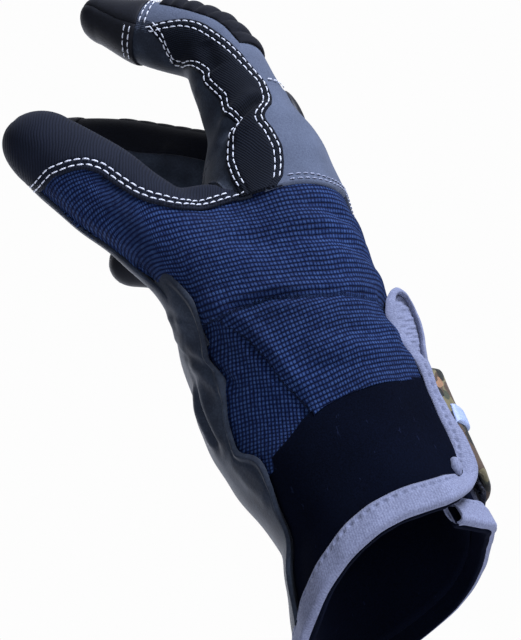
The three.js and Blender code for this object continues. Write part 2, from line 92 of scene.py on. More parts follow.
def bell(x, at, width):
    """A bell curve of height 1: exp(-((x - at) / width)^2)."""
    return np.exp(-((x - at) / width) ** 2)


def lengths(line):
    """How far along a line each of its points lies, in mm."""
    return np.concatenate([[0], np.cumsum(np.linalg.norm(np.diff(line, axis=0), axis=1))])


def read(where, run, table):
    """The row of a table at each place of its run, straight between two rows."""
    return np.stack([np.interp(where, run, column) for column in np.transpose(table)], -1)


def relaxed(line, passes):
    """Inner values become the mean of themselves and their two neighbours, time after time."""
    line = line.copy()
    for _ in range(passes):
        line[1:-1] = (line[:-2] + line[1:-1] + line[2:]) / 3
    return line


def between(rows, at, column):
    """Cubic through a table's rows that keeps their slopes, held at both ends."""
    key, value = rows[:, 0], rows[:, column]
    rise = np.diff(value) / np.diff(key)
    slope = np.concatenate([rise[:1], (value[2:] - value[:-2]) / (key[2:] - key[:-2]), rise[-1:]])
    at = np.clip(at, key[0], key[-1])
    i = np.clip(np.searchsorted(key, at, side="left") - 1, 0, len(key) - 2)
    step = key[i + 1] - key[i]
    t = (at - key[i]) / step
    return ((1 + 2 * t) * (1 - t) ** 2 * value[i] + t * (1 - t) ** 2 * step * slope[i]
            + t * t * (3 - 2 * t) * value[i + 1] - t * t * (1 - t) * step * slope[i + 1])


class Limb:
    """A tube of elliptical sections round a centreline that bends in one plane, with a rounded tip."""

    def __init__(self, base, length, bends, rows, lean=0, spread=0, along=None, palmward=None, samples=46):
        lean, spread = np.radians(lean), np.radians(spread)
        if along is None:
            along = np.array([-np.sin(lean), 0, np.cos(lean)]) * np.cos(spread) - np.array([0, np.sin(spread), 0])
            palmward = np.array([-np.cos(lean), 0, -np.sin(lean)])
        along = unit(along)
        palmward = unit(np.array(palmward) - np.dot(palmward, along) * along)
        self.rows = np.array(rows, float)
        self.length = length
        self.tip = (self.rows[-1, 1] + self.rows[-1, 2]) / 2 * 1.15
        self.s = np.linspace(-20, length, samples)
        turn = sum(np.radians(a) * smooth((self.s - at + BEND_REACH) / (2 * BEND_REACH)) for at, a in bends)[:, None]
        self.heading = np.cos(turn) * along + np.sin(turn) * palmward
        self.back = np.sin(turn) * along - np.cos(turn) * palmward
        self.side = np.cross(self.back[0], self.heading[0])
        step = np.diff(self.s)[:, None] * (self.heading[1:] + self.heading[:-1]) / 2
        centre = np.vstack([[0, 0, 0], np.cumsum(step, 0)])
        self.centre = centre - read(0, self.s, centre) + np.array(base, float)

    def half(self, s):
        return between(self.rows, s, 1), between(self.rows, s, 2)

    def coords(self, p):
        """Arc length, sideways and backward offset of each point from the nearest place of the centreline."""
        i = np.argmin((self.centre ** 2).sum(1)[None] - 2 * p @ self.centre.T, axis=1)
        r = p - self.centre[i]
        along = np.einsum("ij,ij->i", r, self.heading[i])
        reach = (self.s[1] - self.s[0]) * .6
        along = np.where((i > 0) & (i < len(self.s) - 1), np.clip(along, -reach, reach), along)
        return self.s[i] + along, r @ self.side, np.einsum("ij,ij->i", r, self.back[i])

    def distance(self, p):
        """Distance to the tube: an ellipse's implicit value over its gradient. Far points get a rough one."""
        line = self.centre[-1] - self.centre[0]
        t = np.clip((p - self.centre[0]) @ line / (line @ line), 0, 1)
        out = np.linalg.norm(p - self.centre[0] - t[:, None] * line, axis=1) - LIMB_GIRTH
        near = out < LIMB_NEAR
        s, a, b = self.coords(p[near])
        end = self.length - self.tip
        w, h = self.half(np.clip(s, 0, end))
        cap = np.where(s > end, (s - end) / self.tip, np.where(s < 0, s / ROOT, 0))
        g = np.where(s > end, self.tip, ROOT)
        k0 = np.sqrt((a / w) ** 2 + (b / h) ** 2 + cap ** 2) + 1e-9
        k1 = np.sqrt((a / w ** 2) ** 2 + (b / h ** 2) ** 2 + (cap / g) ** 2) + 1e-9
        out[near] = k0 * (k0 - 1) / k1
        return out

    def at(self, s, turn):
        """Surface point at arc length s and turn in degrees: 0 at the thumb's side, 90 on the back."""
        s, turn = np.broadcast_arrays(np.asarray(s, float), np.radians(np.asarray(turn, float)))
        w, h = self.half(s)
        end = self.length - self.tip
        k = np.sqrt(np.clip(1 - (np.clip(s - end, 0, None) / self.tip) ** 2, 0, 1))
        return (read(s, self.s, self.centre) + (w * k * np.cos(turn))[..., None] * self.side
                + (h * k * np.sin(turn))[..., None] * read(s, self.s, self.back))


limbs = {name: Limb(**table) for name, table in LIMBS.items()}


def hand_distance(p):
    """Distance to the stack of superellipse sections with a rounded crown."""
    z = p[:, 2]
    top = HAND[-1, 0]
    x, y, w, h = (between(HAND, z, k) for k in (1, 2, 3, 4))
    a, b, c = np.abs(p[:, 1] - y) / w, np.abs(p[:, 0] - x) / h, np.clip(z - top, 0, None) / CROWN
    q = SQUARENESS
    k = (a ** q + b ** q + c ** q) ** (1 / q) + 1e-9
    slope = np.sqrt((a ** (q - 1) / w) ** 2 + (b ** (q - 1) / h) ** 2 + (c ** (q - 1) / CROWN) ** 2) + 1e-9
    return (k - 1) / (k ** (1 - q) * slope)


def blended(a, b, width):
    """Smooth union of two distances."""
    h = np.clip(width - np.abs(a - b), 0, None) / width
    return np.minimum(a, b) - h * h * width / 4


def web_distance(p):
    """Distance, near enough, to the ellipsoid that fills the web between thumb and index finger."""
    k = np.linalg.norm((p - WEB_MIDDLE) / WEB_HALF, axis=1) + 1e-9
    return (k - 1) * k / np.linalg.norm((p - WEB_MIDDLE) / WEB_HALF ** 2, axis=1)


def form(p, thumb=True):
    """Distance to the whole glove, or to the hand and fingers without the thumb."""
    hand = hand_distance(p)
    if thumb:
        hand = blended(hand, limbs["thumb"].distance(p), WEB_THUMB)
        hand = blended(hand, web_distance(p), WEB_RIDGE)
    out = None
    for name in PRESSED:
        finger = blended(hand, limbs[name].distance(p), WEB_FINGER)
        out = finger if out is None else blended(out, finger, WEB_BETWEEN)
    return out


CORNERS = np.array([(1, -1, -1), (-1, -1, 1), (-1, 1, -1), (1, 1, 1)], float)


def probe(p, field, reach=0.35):
    """Value and gradient of a field at each point, from its four tetrahedral neighbours."""
    values = np.stack([field(p + reach * corner) for corner in CORNERS])
    return values.mean(0), np.einsum("ki,kj->ij", values, CORNERS) / (4 * reach)


def onto(grid, field=form, steps=4):
    """Newton steps that bring each point of a grid onto the form."""
    p = grid.reshape(-1, 3)
    for _ in range(steps):
        value, slope = probe(p, field)
        p = p - (np.clip(value, -6, 6) / np.clip((slope ** 2).sum(1), .3, None))[:, None] * slope
    return p.reshape(grid.shape)


def outward(grid, field=form):
    return unit(probe(grid.reshape(-1, 3), field, .6)[1]).reshape(grid.shape)


def cast(origin, heading, field=form):
    """The first point of the form along each ray, or the nearest pass of a ray that misses it."""
    shape = origin.shape
    o, d = origin.reshape(-1, 3), np.broadcast_to(heading, shape).reshape(-1, 3)
    t = np.zeros(len(o))
    best, at = np.full(len(o), 1e9), np.zeros(len(o))
    for _ in range(MARCH):
        value = field(o + t[:, None] * d)
        closer = value < best
        best, at = np.where(closer, value, best), np.where(closer, t, at)
        t = t + .9 * np.maximum(value, .02)
    return onto((o + at[:, None] * d).reshape(shape), field, 3)


# Rays that turn about an upright line in the palm: 0 comes from the thumb's side, 90 from behind, -90 from the palm
PIVOT = np.array([5.0, -5.0])


def from_bearing(bearing, z, field=form):
    """Points of the form met by level rays at a bearing in degrees and a height."""
    bearing, z = np.broadcast_arrays(np.radians(bearing), np.asarray(z, float))
    out = np.stack([np.sin(bearing), -np.cos(bearing), np.zeros_like(bearing)], -1)
    origin = np.stack([PIVOT[0] + OUTSIDE * out[..., 0], PIVOT[1] + OUTSIDE * out[..., 1], z], -1)
    return cast(origin, -out, field)


def from_side(x, z):
    """Points of the form met by level rays from the thumb's side."""
    x, z = np.broadcast_arrays(np.asarray(x, float), np.asarray(z, float))
    return cast(np.stack([x, np.full_like(x, BESIDE), z], -1), np.array([0.0, 1, 0]))


def bearing_of(grid):
    """The bearing in degrees at which each point of a grid lies from the pivot."""
    return np.degrees(np.arctan2(grid[..., 0] - PIVOT[0], PIVOT[1] - grid[..., 1]))


# ---- Folds: each a run of points, a width, a depth and the height of the swell at its sides ----
FOLDS = [
    ([(-24, -46, 75), (-19, -46, 73.8), (-8.5, -45, 72.5), (-2.5, -44, 73), (8, -41, 71), (18, -35.5, 70.2),
      (29, -20, 70.5)], 1.2, 1.2, 1.0),
    ([(-20, -46, 75), (-17.5, -45, 72.5), (-13, -42, 67), (-10, -39.5, 60), (-8, -37.5, 53), (-4.5, -34, 45.5)],
     1.3, 1.0, 1.1),
    ([(18, -41.6, 133.5), (11.3, -43.7, 129.5), (7.6, -43.8, 127.5), (3, -42, 126)], 1.5, 2.0, 1.2),
    ([(9, -44, 158), (7.4, -43, 152), (7.8, -43, 147)], 3.0, 1.0, .5),
    ([(-30, -30.6, 73), (-26.4, -33, 67), (-22.9, -34.4, 62), (-20, -33.6, 57)], 1.5, 1.0, 1.0),
    ([(-31, -25, 68), (-30.5, -22, 58), (-29.9, -18.8, 49)], 1.6, 1.0, .9),
    ([(-30, -25, 44), (-27, -24, 36), (-24, -26, 28)], 1.6, .8, .7),
    ([(-19, -18, 142), (-14, -18, 138), (-9, -19, 132)], 2.0, 1.6, 1.0),
    ([(6, -42, 97), (18, -38, 96.5), (28, -28, 94), (33, -12, 92)], 2.3, .8, .6),
    ([(10, -41, 88), (20, -37, 87), (29, -26, 85), (33, -10, 84)], 2.3, .7, .6),
    ([(-22, -51, 98), (-10, -47, 92), (2, -44, 89)], 2.6, .6, .4),
    ([(2, -40, 62), (14, -36, 60), (24, -28, 58)], 2.2, .5, .4),
    ([(0, -37, 52), (12, -34.5, 50.5), (22, -29, 49)], 2.0, .5, .3),
    ([(-40, -60, 108), (-37, -62, 104), (-32, -60, 100)], 2.0, .8, .5),
    ([(-29, -38, 82), (-31, -34, 78), (-32, -28, 76)], 1.6, .8, .8),
]


def folds(p):
    """Valley exp(-(d/width)^2) along each run, with a swell to each side, d being the distance to the run. Two slow
    waves under them keep the cloth from lying dead smooth."""
    q = p.reshape(-1, 3)
    out = .16 * np.sin(q[:, 0] * .31 + q[:, 2] * .17 + 1.3) + .14 * np.sin(q[:, 2] * .37 - q[:, 1] * .23)
    for run, width, depth, swell in FOLDS:
        run = np.array(run, float)
        close = ((q > run.min(0) - 12) & (q < run.max(0) + 12)).all(1)
        r = q[close]
        a, b = run[:-1], np.diff(run, axis=0)
        t = np.clip(((r[:, None] - a) * b).sum(-1) / (b ** 2).sum(-1), 0, 1)
        gap = np.linalg.norm(r[:, None] - a - t[..., None] * b, axis=-1)
        k = gap.argmin(1)
        d = gap.min(1)
        place = (k + t[np.arange(len(k)), k]) / len(b)
        fade = np.clip(np.sin(np.pi * np.clip(place, .02, .98)) * 2.2, 0, 1) ** .7
        out[close] += fade * (-depth * np.exp(-(d / width) ** 2)
                              + swell * (d / (2.2 * width)) ** 2 * np.exp(1 - (d / (2.2 * width)) ** 2))
    return out.reshape(p.shape[:-1])


# ---- Meshes ----
def measured(grid):
    """Lengths in mm along a grid: on its middle row, and up each of its columns."""
    along = np.linalg.norm(np.diff(grid[len(grid) // 2], axis=0), axis=-1)
    up = np.linalg.norm(np.diff(grid, axis=0), axis=-1)
    u = np.concatenate([[0], np.cumsum(along)])
    v = np.vstack([np.zeros(grid.shape[1]), np.cumsum(up, 0)])
    return np.broadcast_to(u, v.shape), v


def make(name, points, faces, look, uv=None):
    """A smooth-shaded mesh object from points in mm, faces, and one UV pair for each point."""
    mesh = bpy.data.meshes.new(name)
    counts = np.concatenate([np.full(len(f), f.shape[1]) for f in faces])
    corners = np.concatenate([f.ravel() for f in faces])
    mesh.vertices.add(len(points))
    mesh.vertices.foreach_set("co", (points * MM).astype(np.float32).ravel())
    mesh.loops.add(len(corners))
    mesh.loops.foreach_set("vertex_index", corners.astype(np.int32))
    mesh.polygons.add(len(counts))
    mesh.polygons.foreach_set("loop_start", np.concatenate([[0], np.cumsum(counts)[:-1]]).astype(np.int32))
    mesh.polygons.foreach_set("use_smooth", np.ones(len(counts), bool))
    if uv is not None:
        mesh.uv_layers.new(name="cloth").data.foreach_set("uv", uv[corners].astype(np.float32).ravel())
    mesh.update(calc_edges=True)
    mesh.validate()
    mesh.materials.append(look)
    obj = bpy.data.objects.new(name, mesh)
    bpy.context.scene.collection.objects.link(obj)
    return obj


def quads(rows, columns, round_columns=False):
    """Faces of a grid of points stored row by row."""
    j = np.arange(columns if round_columns else columns - 1)
    i = np.arange(rows - 1)[:, None]
    a, b = i * columns + j, i * columns + (j + 1) % columns
    return np.stack([a, b, b + columns, a + columns], -1).reshape(-1, 4)


def sewn(name, grid, lift, slot, nodes=(), wall=1.0, uv=None, loop=False, hole=None, normals=None):
    """A piece of cloth: the grid lifted along its normals, which are the form's unless others are given, left open in
    a hole, and given a wall towards the inside."""
    if normals is None:
        normals = outward(grid)
    points = grid + normals * np.asarray(lift)[..., None]
    faces = quads(*grid.shape[:2], loop)
    if hole is not None:
        faces = faces[~hole.ravel()[faces].any(1)]
    p = points.reshape(-1, 3)
    across = np.cross(p[faces[:, 1]] - p[faces[:, 0]], p[faces[:, 3]] - p[faces[:, 0]])
    if (across * normals.reshape(-1, 3)[faces[:, 0]]).sum() < 0:
        faces = faces[:, ::-1]
    if uv is None:
        uv = measured(grid)
    obj = make(name, p, [faces], LOOKS[slot], np.stack([uv[0].ravel(), uv[1].ravel()], -1))
    if wall:
        solid = obj.modifiers.new("wall", "SOLIDIFY")
        solid.thickness = wall * MM
        solid.offset = -1
    return finished(obj, nodes)


def finished(obj, nodes=()):
    """Puts a piece on the glove's one body, and says which solids it stands for."""
    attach(obj, "root")
    if nodes:
        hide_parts(*nodes)
    return obj


def crowded(count, pull=.6):
    """Steps from 0 to 1 that lie closer at both ends."""
    t = np.linspace(0, 1, count)
    return t - pull * np.sin(2 * np.pi * t) / (2 * np.pi)


def from_edges(grid):
    """Distance in mm of each grid point from the first and from the last row, up its column."""
    v = measured(grid)[1]
    return v, v[-1] - v


def rolled(e, height, rows=()):
    """Height of a layer at distance e from its edge: it rises round a rolled edge and dips along each stitch row."""
    out = height * (.25 + .75 * (1 - np.exp(-np.clip(e, 0, None) / .7)))
    for at in rows:
        out = out - .3 * bell(e, at, .5)
    return out


def line_at(grid, e, last=False):
    """The curve on a grid that keeps a distance e from its first row, or from its last."""
    g = grid[::-1] if last else grid
    v = measured(g)[1]
    i = np.clip((v < e).sum(0), 1, len(g) - 1)
    c = np.arange(g.shape[1])
    t = np.clip((e - v[i - 1, c]) / np.maximum(v[i, c] - v[i - 1, c], 1e-6), 0, 1)[:, None]
    return g[i - 1, c] * (1 - t) + g[i, c] * t


PITCH, DASH, THREAD = 2.35, 1.85, .18  # a heavy topstitch: its pitch, a dash's visible length, the thread's radius


def stitched(name, lines, look):
    """Dashes of thread along lines on the form. A dash is a tube whose radius falls as sqrt(1 - t^4) to its ends and
    whose height over the cloth is an arch, t running from -1 to 1 along it."""
    t = np.array([-1, -.92, -.7, -.3, .3, .7, .92, 1.0])
    sides = 6
    turn = np.arange(sides) * 2 * np.pi / sides
    points, count = [], 0
    for line, lift in lines:
        normal = outward(line)
        line = line + normal * (folds(line) + lift)[:, None]
        run = lengths(line)
        middle = np.arange(PITCH / 2, run[-1] - DASH / 2, PITCH)
        if not len(middle):
            continue
        where = middle[:, None] + t * DASH / 2
        p, n = read(where, run, line), unit(read(where, run, normal))
        ahead = unit(np.gradient(p, axis=1))
        side = unit(np.cross(n, ahead))
        p = p + n * (THREAD * (1.1 - 1.7 * t ** 4))[:, None]
        radius = THREAD * np.sqrt(np.clip(1 - t ** 4, .02, 1))[:, None, None]
        ring = (np.cos(turn)[:, None] * n[:, :, None] * .85 + np.sin(turn)[:, None] * side[:, :, None] * 1.15) * radius
        points.append((p[:, :, None] + ring).reshape(-1, 3))
        count += len(middle)
    each = len(t) * sides
    start = np.arange(count)[:, None, None] * each
    tube = (start + quads(len(t), sides, True)).reshape(-1, 4)
    first, last = np.arange(sides)[::-1], np.arange(sides) + each - sides
    caps = (start + np.stack([first, last])).reshape(-1, sides)
    obj = make(name, np.concatenate(points), [tube[:, ::-1], caps[:, ::-1]], look)
    return finished(obj)


# ---- Materials ----
def linear(code):
    """An sRGB hex colour as linear RGBA."""
    c = np.array([int(code[i:i + 2], 16) for i in (1, 3, 5)]) / 255
    return (*np.where(c > .04045, ((c + .055) / 1.055) ** 2.4, c / 12.92), 1.0)


def add(tree, kind, settings=(), links=()):
    """A node of a kind, with its properties or sockets set and its inputs linked from other nodes. A source is a node,
    for its first output, or a pair of a node and an output."""
    node = tree.nodes.new(kind)
    for key, value in dict(settings).items():
        if isinstance(key, str) and hasattr(node, key):
            setattr(node, key, value)
        else:
            node.inputs[key].default_value = value
    for key, value in dict(links).items():
        source, output = value if isinstance(value, tuple) else (value, 0)
        tree.links.new(source.outputs[output], node.inputs[key])
    return node


def ramp(tree, source, stops):
    """Colours by a value: stops are (place, hex)."""
    node = add(tree, "ShaderNodeValToRGB", links={0: source})
    elements = node.color_ramp.elements
    for i, (place, code) in enumerate(stops):
        element = elements[i] if i < 2 else elements.new(place)
        element.position = place
        element.color = linear(code)
    return node


def math(tree, operation, *values):
    """Arithmetic on numbers and nodes."""
    numbers = {i: value for i, value in enumerate(values) if isinstance(value, (int, float))}
    nodes = {i: value for i, value in enumerate(values) if i not in numbers}
    return add(tree, "ShaderNodeMath", {"operation": operation, **numbers}, nodes)


def weighed(tree, a, share_a, b, share_b):
    """share_a times a, plus share_b times b."""
    return math(tree, "MULTIPLY_ADD", a, share_a, math(tree, "MULTIPLY", b, share_b))


def cloth(name, roughness, sheen, specular, sheen_tint="#ffffff"):
    """An empty fabric or leather material and its tree."""
    look = bpy.data.materials.new(name)
    look.use_nodes = True
    inputs = look.node_tree.nodes["Principled BSDF"].inputs
    for key, value in (("Roughness", roughness), ("Specular IOR Level", specular), ("Sheen Weight", sheen),
                       ("Sheen Roughness", .45), ("Sheen Tint", linear(sheen_tint))):
        inputs[key].default_value = value
    return look, look.node_tree


def place_on_piece(tree):
    return add(tree, "ShaderNodeTexCoord"), "Object"


def dressed(look, base, patches, height, depth_mm, strength=1.0):
    """Gives a material its base colour, lighter and darker in soft patches if it has them (their scale, darkest and
    lightest), and a bump of a depth in mm from a height that runs from 0 to 1."""
    tree = look.node_tree
    surface = tree.nodes["Principled BSDF"]
    if patches:
        scale, low, high = patches
        noise = add(tree, "ShaderNodeTexNoise", {"Scale": scale, "Detail": 4.0}, {"Vector": place_on_piece(tree)})
        shade = add(tree, "ShaderNodeMapRange", {"From Min": .3, "From Max": .7, "To Min": low, "To Max": high},
                    {"Value": noise})
        base = add(tree, "ShaderNodeVectorMath", {"operation": "MULTIPLY"}, {0: base, 1: shade})
    source, output = base if isinstance(base, tuple) else (base, 0)
    tree.links.new(source.outputs[output], surface.inputs["Base Color"])
    bump = add(tree, "ShaderNodeBump", {"Strength": strength, "Distance": depth_mm * MM}, {"Height": height})
    tree.links.new(bump.outputs[0], surface.inputs["Normal"])
    return look


def grain(tree, size_mm, detail=3.0, stretch=(1, 1, 1)):
    """Noise on Object coordinates whose grain has a size in mm."""
    scaled = add(tree, "ShaderNodeMapping", {"Scale": stretch}, {"Vector": place_on_piece(tree)})
    return add(tree, "ShaderNodeTexNoise", {"Scale": 1 / (size_mm * MM), "Detail": detail}, {"Vector": scaled})


def waves(tree, coordinate, pitch_mm, power):
    """|sin| of a coordinate in mm, to a power: 0 in the groove between ribs and 1 on each rib."""
    angle = math(tree, "MULTIPLY", coordinate, np.pi / pitch_mm)
    return math(tree, "POWER", math(tree, "ABSOLUTE", math(tree, "SINE", angle)), power)


def uv_parts(tree):
    """The piece's own cloth coordinates in mm, along and across, with a slight wander of the yarn."""
    parts = add(tree, "ShaderNodeSeparateXYZ", links={0: add(tree, "ShaderNodeUVMap", {"uv_map": "cloth"})})
    shift = math(tree, "MULTIPLY_ADD", grain(tree, 9.0, 2.0), .9, -.45)
    return [math(tree, "ADD", (parts, axis), shift) for axis in "XY"]


def grid_knit():
    """Blue polyester knit. Courses of raised cells a little over a millimetre apart stand in rows. The colour
    paints a highlight on each cell's crown, stronger on some cells than others, and paints shade into the grooves
    between rows, which come out nearly black."""
    look, tree = cloth("blue_grid_knit", .85, .06, .12, "#6f86c8")
    along, across = uv_parts(tree)
    rows, columns = waves(tree, across, 1.33, .55), waves(tree, along, 1.05, .6)
    cell = math(tree, "MULTIPLY", rows, math(tree, "MULTIPLY_ADD", columns, .65, .35))
    yarn = math(tree, "MULTIPLY_ADD", grain(tree, 1.3), 1.0, .47)
    # painted light: the cell's height lightens its crown as a painted highlight and darkens the grooves as painted
    # shade; the fine grain and the yarn noise add tone that differs at random
    yarn_tone_and_painted_light = math(tree, "MULTIPLY_ADD", grain(tree, .4, 2.0), .3, math(tree, "MULTIPLY", cell, yarn))
    base = ramp(tree, math(tree, "SUBTRACT", yarn_tone_and_painted_light, .15),
                [(0.0, "#010414"), (.32, "#040e2c"), (.64, "#0d1e46"), (1.0, "#2f456f")])
    return dressed(look, base, (38, .7, 1.08), cell, .36)


def stretch_fabric(name, dark, light, grain_mm):
    """Plain stretch fabric with a brushed face: fine grain, a breath of sheen and cloudy shade."""
    look, tree = cloth(name, .85, .05, .14)
    fine = grain(tree, grain_mm)
    return dressed(look, ramp(tree, fine, [(.3, dark), (.7, light)]), (70, .86, 1.1), fine, .08)


def nap_leather():
    """Synthetic leather with a short nap: dull, with a fine pebble and lighter scuffs where it is rubbed."""
    look, tree = cloth("grey_nap_leather", .75, .06, .2)
    pebble = grain(tree, .6, 5.0)
    mixed = weighed(tree, grain(tree, 7.0, 4.0), .6, pebble, .4)
    base = ramp(tree, mixed, [(.35, "#171c27"), (.5, "#212834"), (.68, "#303845")])
    return dressed(look, base, (60, .85, 1.12), pebble, .1)


def ribbed_face():
    """Black reinforcement with faint ribs about 0.75 mm apart, upright on the thumb, on a dull woven face."""
    look, tree = cloth("black_ribbed_reinforcement", .8, .03, .1)
    over_ribs = add(tree, "ShaderNodeVectorMath", {"operation": "DOT_PRODUCT", 1: (.927, .17, -.334)},
                    {0: place_on_piece(tree)})
    rib = waves(tree, weighed(tree, (over_ribs, "Value"), 1 / MM, grain(tree, 6.0, 1.0), 1.2), .75, .8)
    mixed = weighed(tree, grain(tree, .35), .55, rib, .45)
    base = ramp(tree, mixed, [(.15, "#0a0d15"), (.5, "#0f131e"), (.85, "#181d2b")])
    return dressed(look, base, (50, .85, 1.15), rib, .07)


def diamond_weave():
    """Black nylon in a fine diamond weave: two sets of slanted cords that cross, drawn at 0.65 mm and 1 mm, a little
    coarser than they are, so that they show."""
    look, tree = cloth("black_diamond_weave", .8, .02, .1)
    along, across = uv_parts(tree)
    cords = waves(tree, math(tree, "MULTIPLY_ADD", along, .45, across), .65, .8)
    cross = waves(tree, math(tree, "MULTIPLY_ADD", along, -1.5, across), 1.0, .8)
    cell = math(tree, "MULTIPLY", cords, math(tree, "MULTIPLY_ADD", cross, .45, .55))
    base = ramp(tree, cell, [(.05, "#030408"), (.5, "#070a11"), (.95, "#131925")])
    return dressed(look, base, (60, .75, 1.25), cell, .12)


def jersey_neoprene():
    """Foam rubber with a black jersey face: very dull, faintly blue, with stray lint."""
    look, tree = cloth("black_jersey_neoprene", .95, .03, .04, "#5060a0")
    fine = grain(tree, .4)
    lint = math(tree, "GREATER_THAN", grain(tree, 1.1, 6.0, (1, 1, .35)), .7)
    base = ramp(tree, weighed(tree, lint, .22, fine, .5), [(.1, "#020309"), (.4, "#060b1a"), (1.0, "#2a304a")])
    return dressed(look, base, (40, .8, 1.2), fine, .06)


def folded_tape():
    """Pale lilac-grey stretch tape: a soft fuzzy face with faint ribs across it, and a little soil."""
    look, tree = cloth("pale_stretch_tape", .85, .08, .12)
    rib = waves(tree, uv_parts(tree)[0], .7, .8)
    mixed = weighed(tree, grain(tree, .5, 4.0), .86, rib, .14)
    base = ramp(tree, mixed, [(.3, "#666a80"), (.55, "#797e96"), (.8, "#8d92a9")])
    return dressed(look, base, (90, .86, 1.08), mixed, .12)


def printed_camouflage():
    """Woven nylon printed in blotches: olive and dark green, with brown, then black, then sand over them."""
    look, tree = cloth("camouflage_webbing", .75, .1, .3)

    def blot(size_mm, shift):
        moved = add(tree, "ShaderNodeMapping", {"Location": (shift, shift, 0)}, {"Vector": place_on_piece(tree)})
        return add(tree, "ShaderNodeTexNoise", {"Scale": 1 / (size_mm * MM), "Detail": 1.5}, {"Vector": moved})

    print_so_far = ramp(tree, blot(9, .3), [(.47, "#3c4030"), (.49, "#6b6346")])
    for code, size_mm, shift, spread in (("#4a3a2c", 8, .9, .55), ("#15160f", 7, 1.7, .57), ("#8f6c50", 6, 2.6, .66)):
        where = math(tree, "GREATER_THAN", blot(size_mm, shift), spread)
        mix = add(tree, "ShaderNodeMix", {"data_type": "RGBA", 7: linear(code)}, {0: where, 6: print_so_far})
        print_so_far = mix, 2
    return dressed(look, print_so_far, (600, .85, 1.1), grain(tree, .5), .15)


def moulded_rubber(name, dark, light, roughness):
    """Soft moulded rubber with a faint mould grain."""
    look, tree = cloth(name, roughness, 0, .25)
    fine = grain(tree, .7, 4.0)
    return dressed(look, ramp(tree, fine, [(.3, dark), (.7, light)]), (120, .9, 1.08), fine, .05)


def brushed_loops():
    """Black hook-and-loop pile: matted curls, lighter at their tips."""
    look, tree = cloth("black_loop_pile", .95, .3, .1, "#707590")
    curls = add(tree, "ShaderNodeTexVoronoi", {"Scale": 900.0}, {"Vector": place_on_piece(tree)})
    return dressed(look, ramp(tree, curls, [(.1, "#34363e"), (.5, "#0a0a0d")]), (80, .8, 1.3), curls, .6, .8)


def twisted_thread(name, dark, light):
    """Heavy polyester thread: two plies twist round each other, so its sheen runs in short slants."""
    look, tree = cloth(name, .55, .15, .4)
    ply = grain(tree, .25, 2.0)
    return dressed(look, ramp(tree, ply, [(.3, dark), (.6, light)]), None, ply, .05)


BLACK_FABRIC = stretch_fabric("black_stretch_fabric", "#05060c", "#0d101a", .5)
LOOKS = {
    "knit": grid_knit(),
    "grey_fabric": stretch_fabric("grey_stretch_fabric", "#484f60", "#565e70", .45),
    "finger_fabric": BLACK_FABRIC,
    "rib_fabric": BLACK_FABRIC,
    "palm_leather": nap_leather(),
    "fingertip_fabric": moulded_rubber("black_coated_leather", "#070910", "#0f121c", .7),
    "ribbed_reinforcement": ribbed_face(),
    "diagonal_weave": diamond_weave(),
    "neoprene": jersey_neoprene(),
    "binding": folded_tape(),
    "camouflage_fabric": printed_camouflage(),
    "black_rubber": moulded_rubber("black_moulded_rubber", "#0c0d12", "#15171e", .5),
    "patch_rubber": moulded_rubber("pale_moulded_rubber", "#8f9fc4", "#a8b6d6", .45),
    "loop_pile": brushed_loops(),
}
WHITE_THREAD = twisted_thread("white_topstitch_thread", "#8d93a8", "#e9ecf4")
GREY_THREAD = twisted_thread("grey_topstitch_thread", "#50546b", "#9aa1b8")


# ---- Knit ----
def curve(points, at):
    """The second column of a short table, read along its first."""
    points = np.array(points, float)
    return np.interp(at, *points[np.argsort(points[:, 0])].T)


def averaged(values, weights):
    """Each value becomes the weighted mean of its neighbourhood, the end values standing for what lies past them."""
    weights = np.array(weights, float)
    return np.convolve(np.pad(values, len(weights) // 2, mode="edge"), weights / weights.sum(), "valid")


# Seams on the thumb's side of the hand, as (x, z)
CAP_SEAM = [(-52, 119), (-49.5, 119), (-43.3, 117.2), (-37.9, 116.2), (-34.2, 115.6), (-31.1, 114.1), (-28.4, 109.8),
            (-25.5, 106.6), (-22.1, 104.2), (-18.5, 102.3), (-15.2, 101.2), (-10.8, 102), (-6.4, 103.2), (-2.6, 104),
            (1.6, 104), (6.4, 103.5), (12.3, 103.1), (70, 103.1)]
CUFF_SEAM = [(-90, 32.5), (-24, 32.5), (-19, 33.6), (-14, 35.3), (-9, 38), (-5, 41), (-1, 42.8), (5, 43.7),
             (18.4, 44.8), (60, 47)]
# The palm leather's turned edge, as (height, bearing)
HEM = [(-30, -62), (-12, -62), (7, -60), (22, -53), (29, -47.5), (35, -47.5), (42, -57), (49, -53), (55.5, -43),
       (63, -43), (69, -40), (76, -33), (82, -33), (88, -35)]
CREASE_ACROSS = [(-22, 74), (-19, 73.8), (-13.5, 73), (-8.5, 72.5), (-2.5, 73), (3, 72), (8, 71), (18, 70.2),
                 (90, 70.5)]
CREASE_DOWN = [(75, -20), (72.5, -17.5), (67, -13), (60, -10), (53, -8), (45.5, -4.5), (42.7, -3.5)]  # (z, x)
# The slit seen from behind, as (height, y): where the near and the far edges of its opening lie
SLIT_NEAR = [(0, -13), (20, -14), (45, -15), (53, -15.5), (58, -18.2), (65, -18.2), (69, -17), (73, -14)]
SLIT_FAR = [(0, -2), (20, -4), (45, -7), (55, -8), (64, -7), (69, -8), (73, -12)]


def in_slit(p, spare=1.5):
    """Whether points lie in the slit's opening, on the back of the wrist."""
    y, z = p[..., 1], p[..., 2]
    return (p[..., 0] > 12) & (z < 72.3) & (y > curve(SLIT_NEAR, z) + spare) & (y < curve(SLIT_FAR, z) - spare)


def cuff_seam(bearing):
    """Height of the seam between cuff and knit at a bearing: the seam's table is read at the wrist's depth there."""
    return curve(CUFF_SEAM, PIVOT[0] + 26 * np.sin(np.radians(bearing)))


def rise_of_seam(bearing):
    """How much higher the knit's upper seam lies on the back of the hand than at the thumb's side."""
    return 5.5 * smooth((bearing - 30) / 50) * (1 - smooth((bearing - 120) / 40))


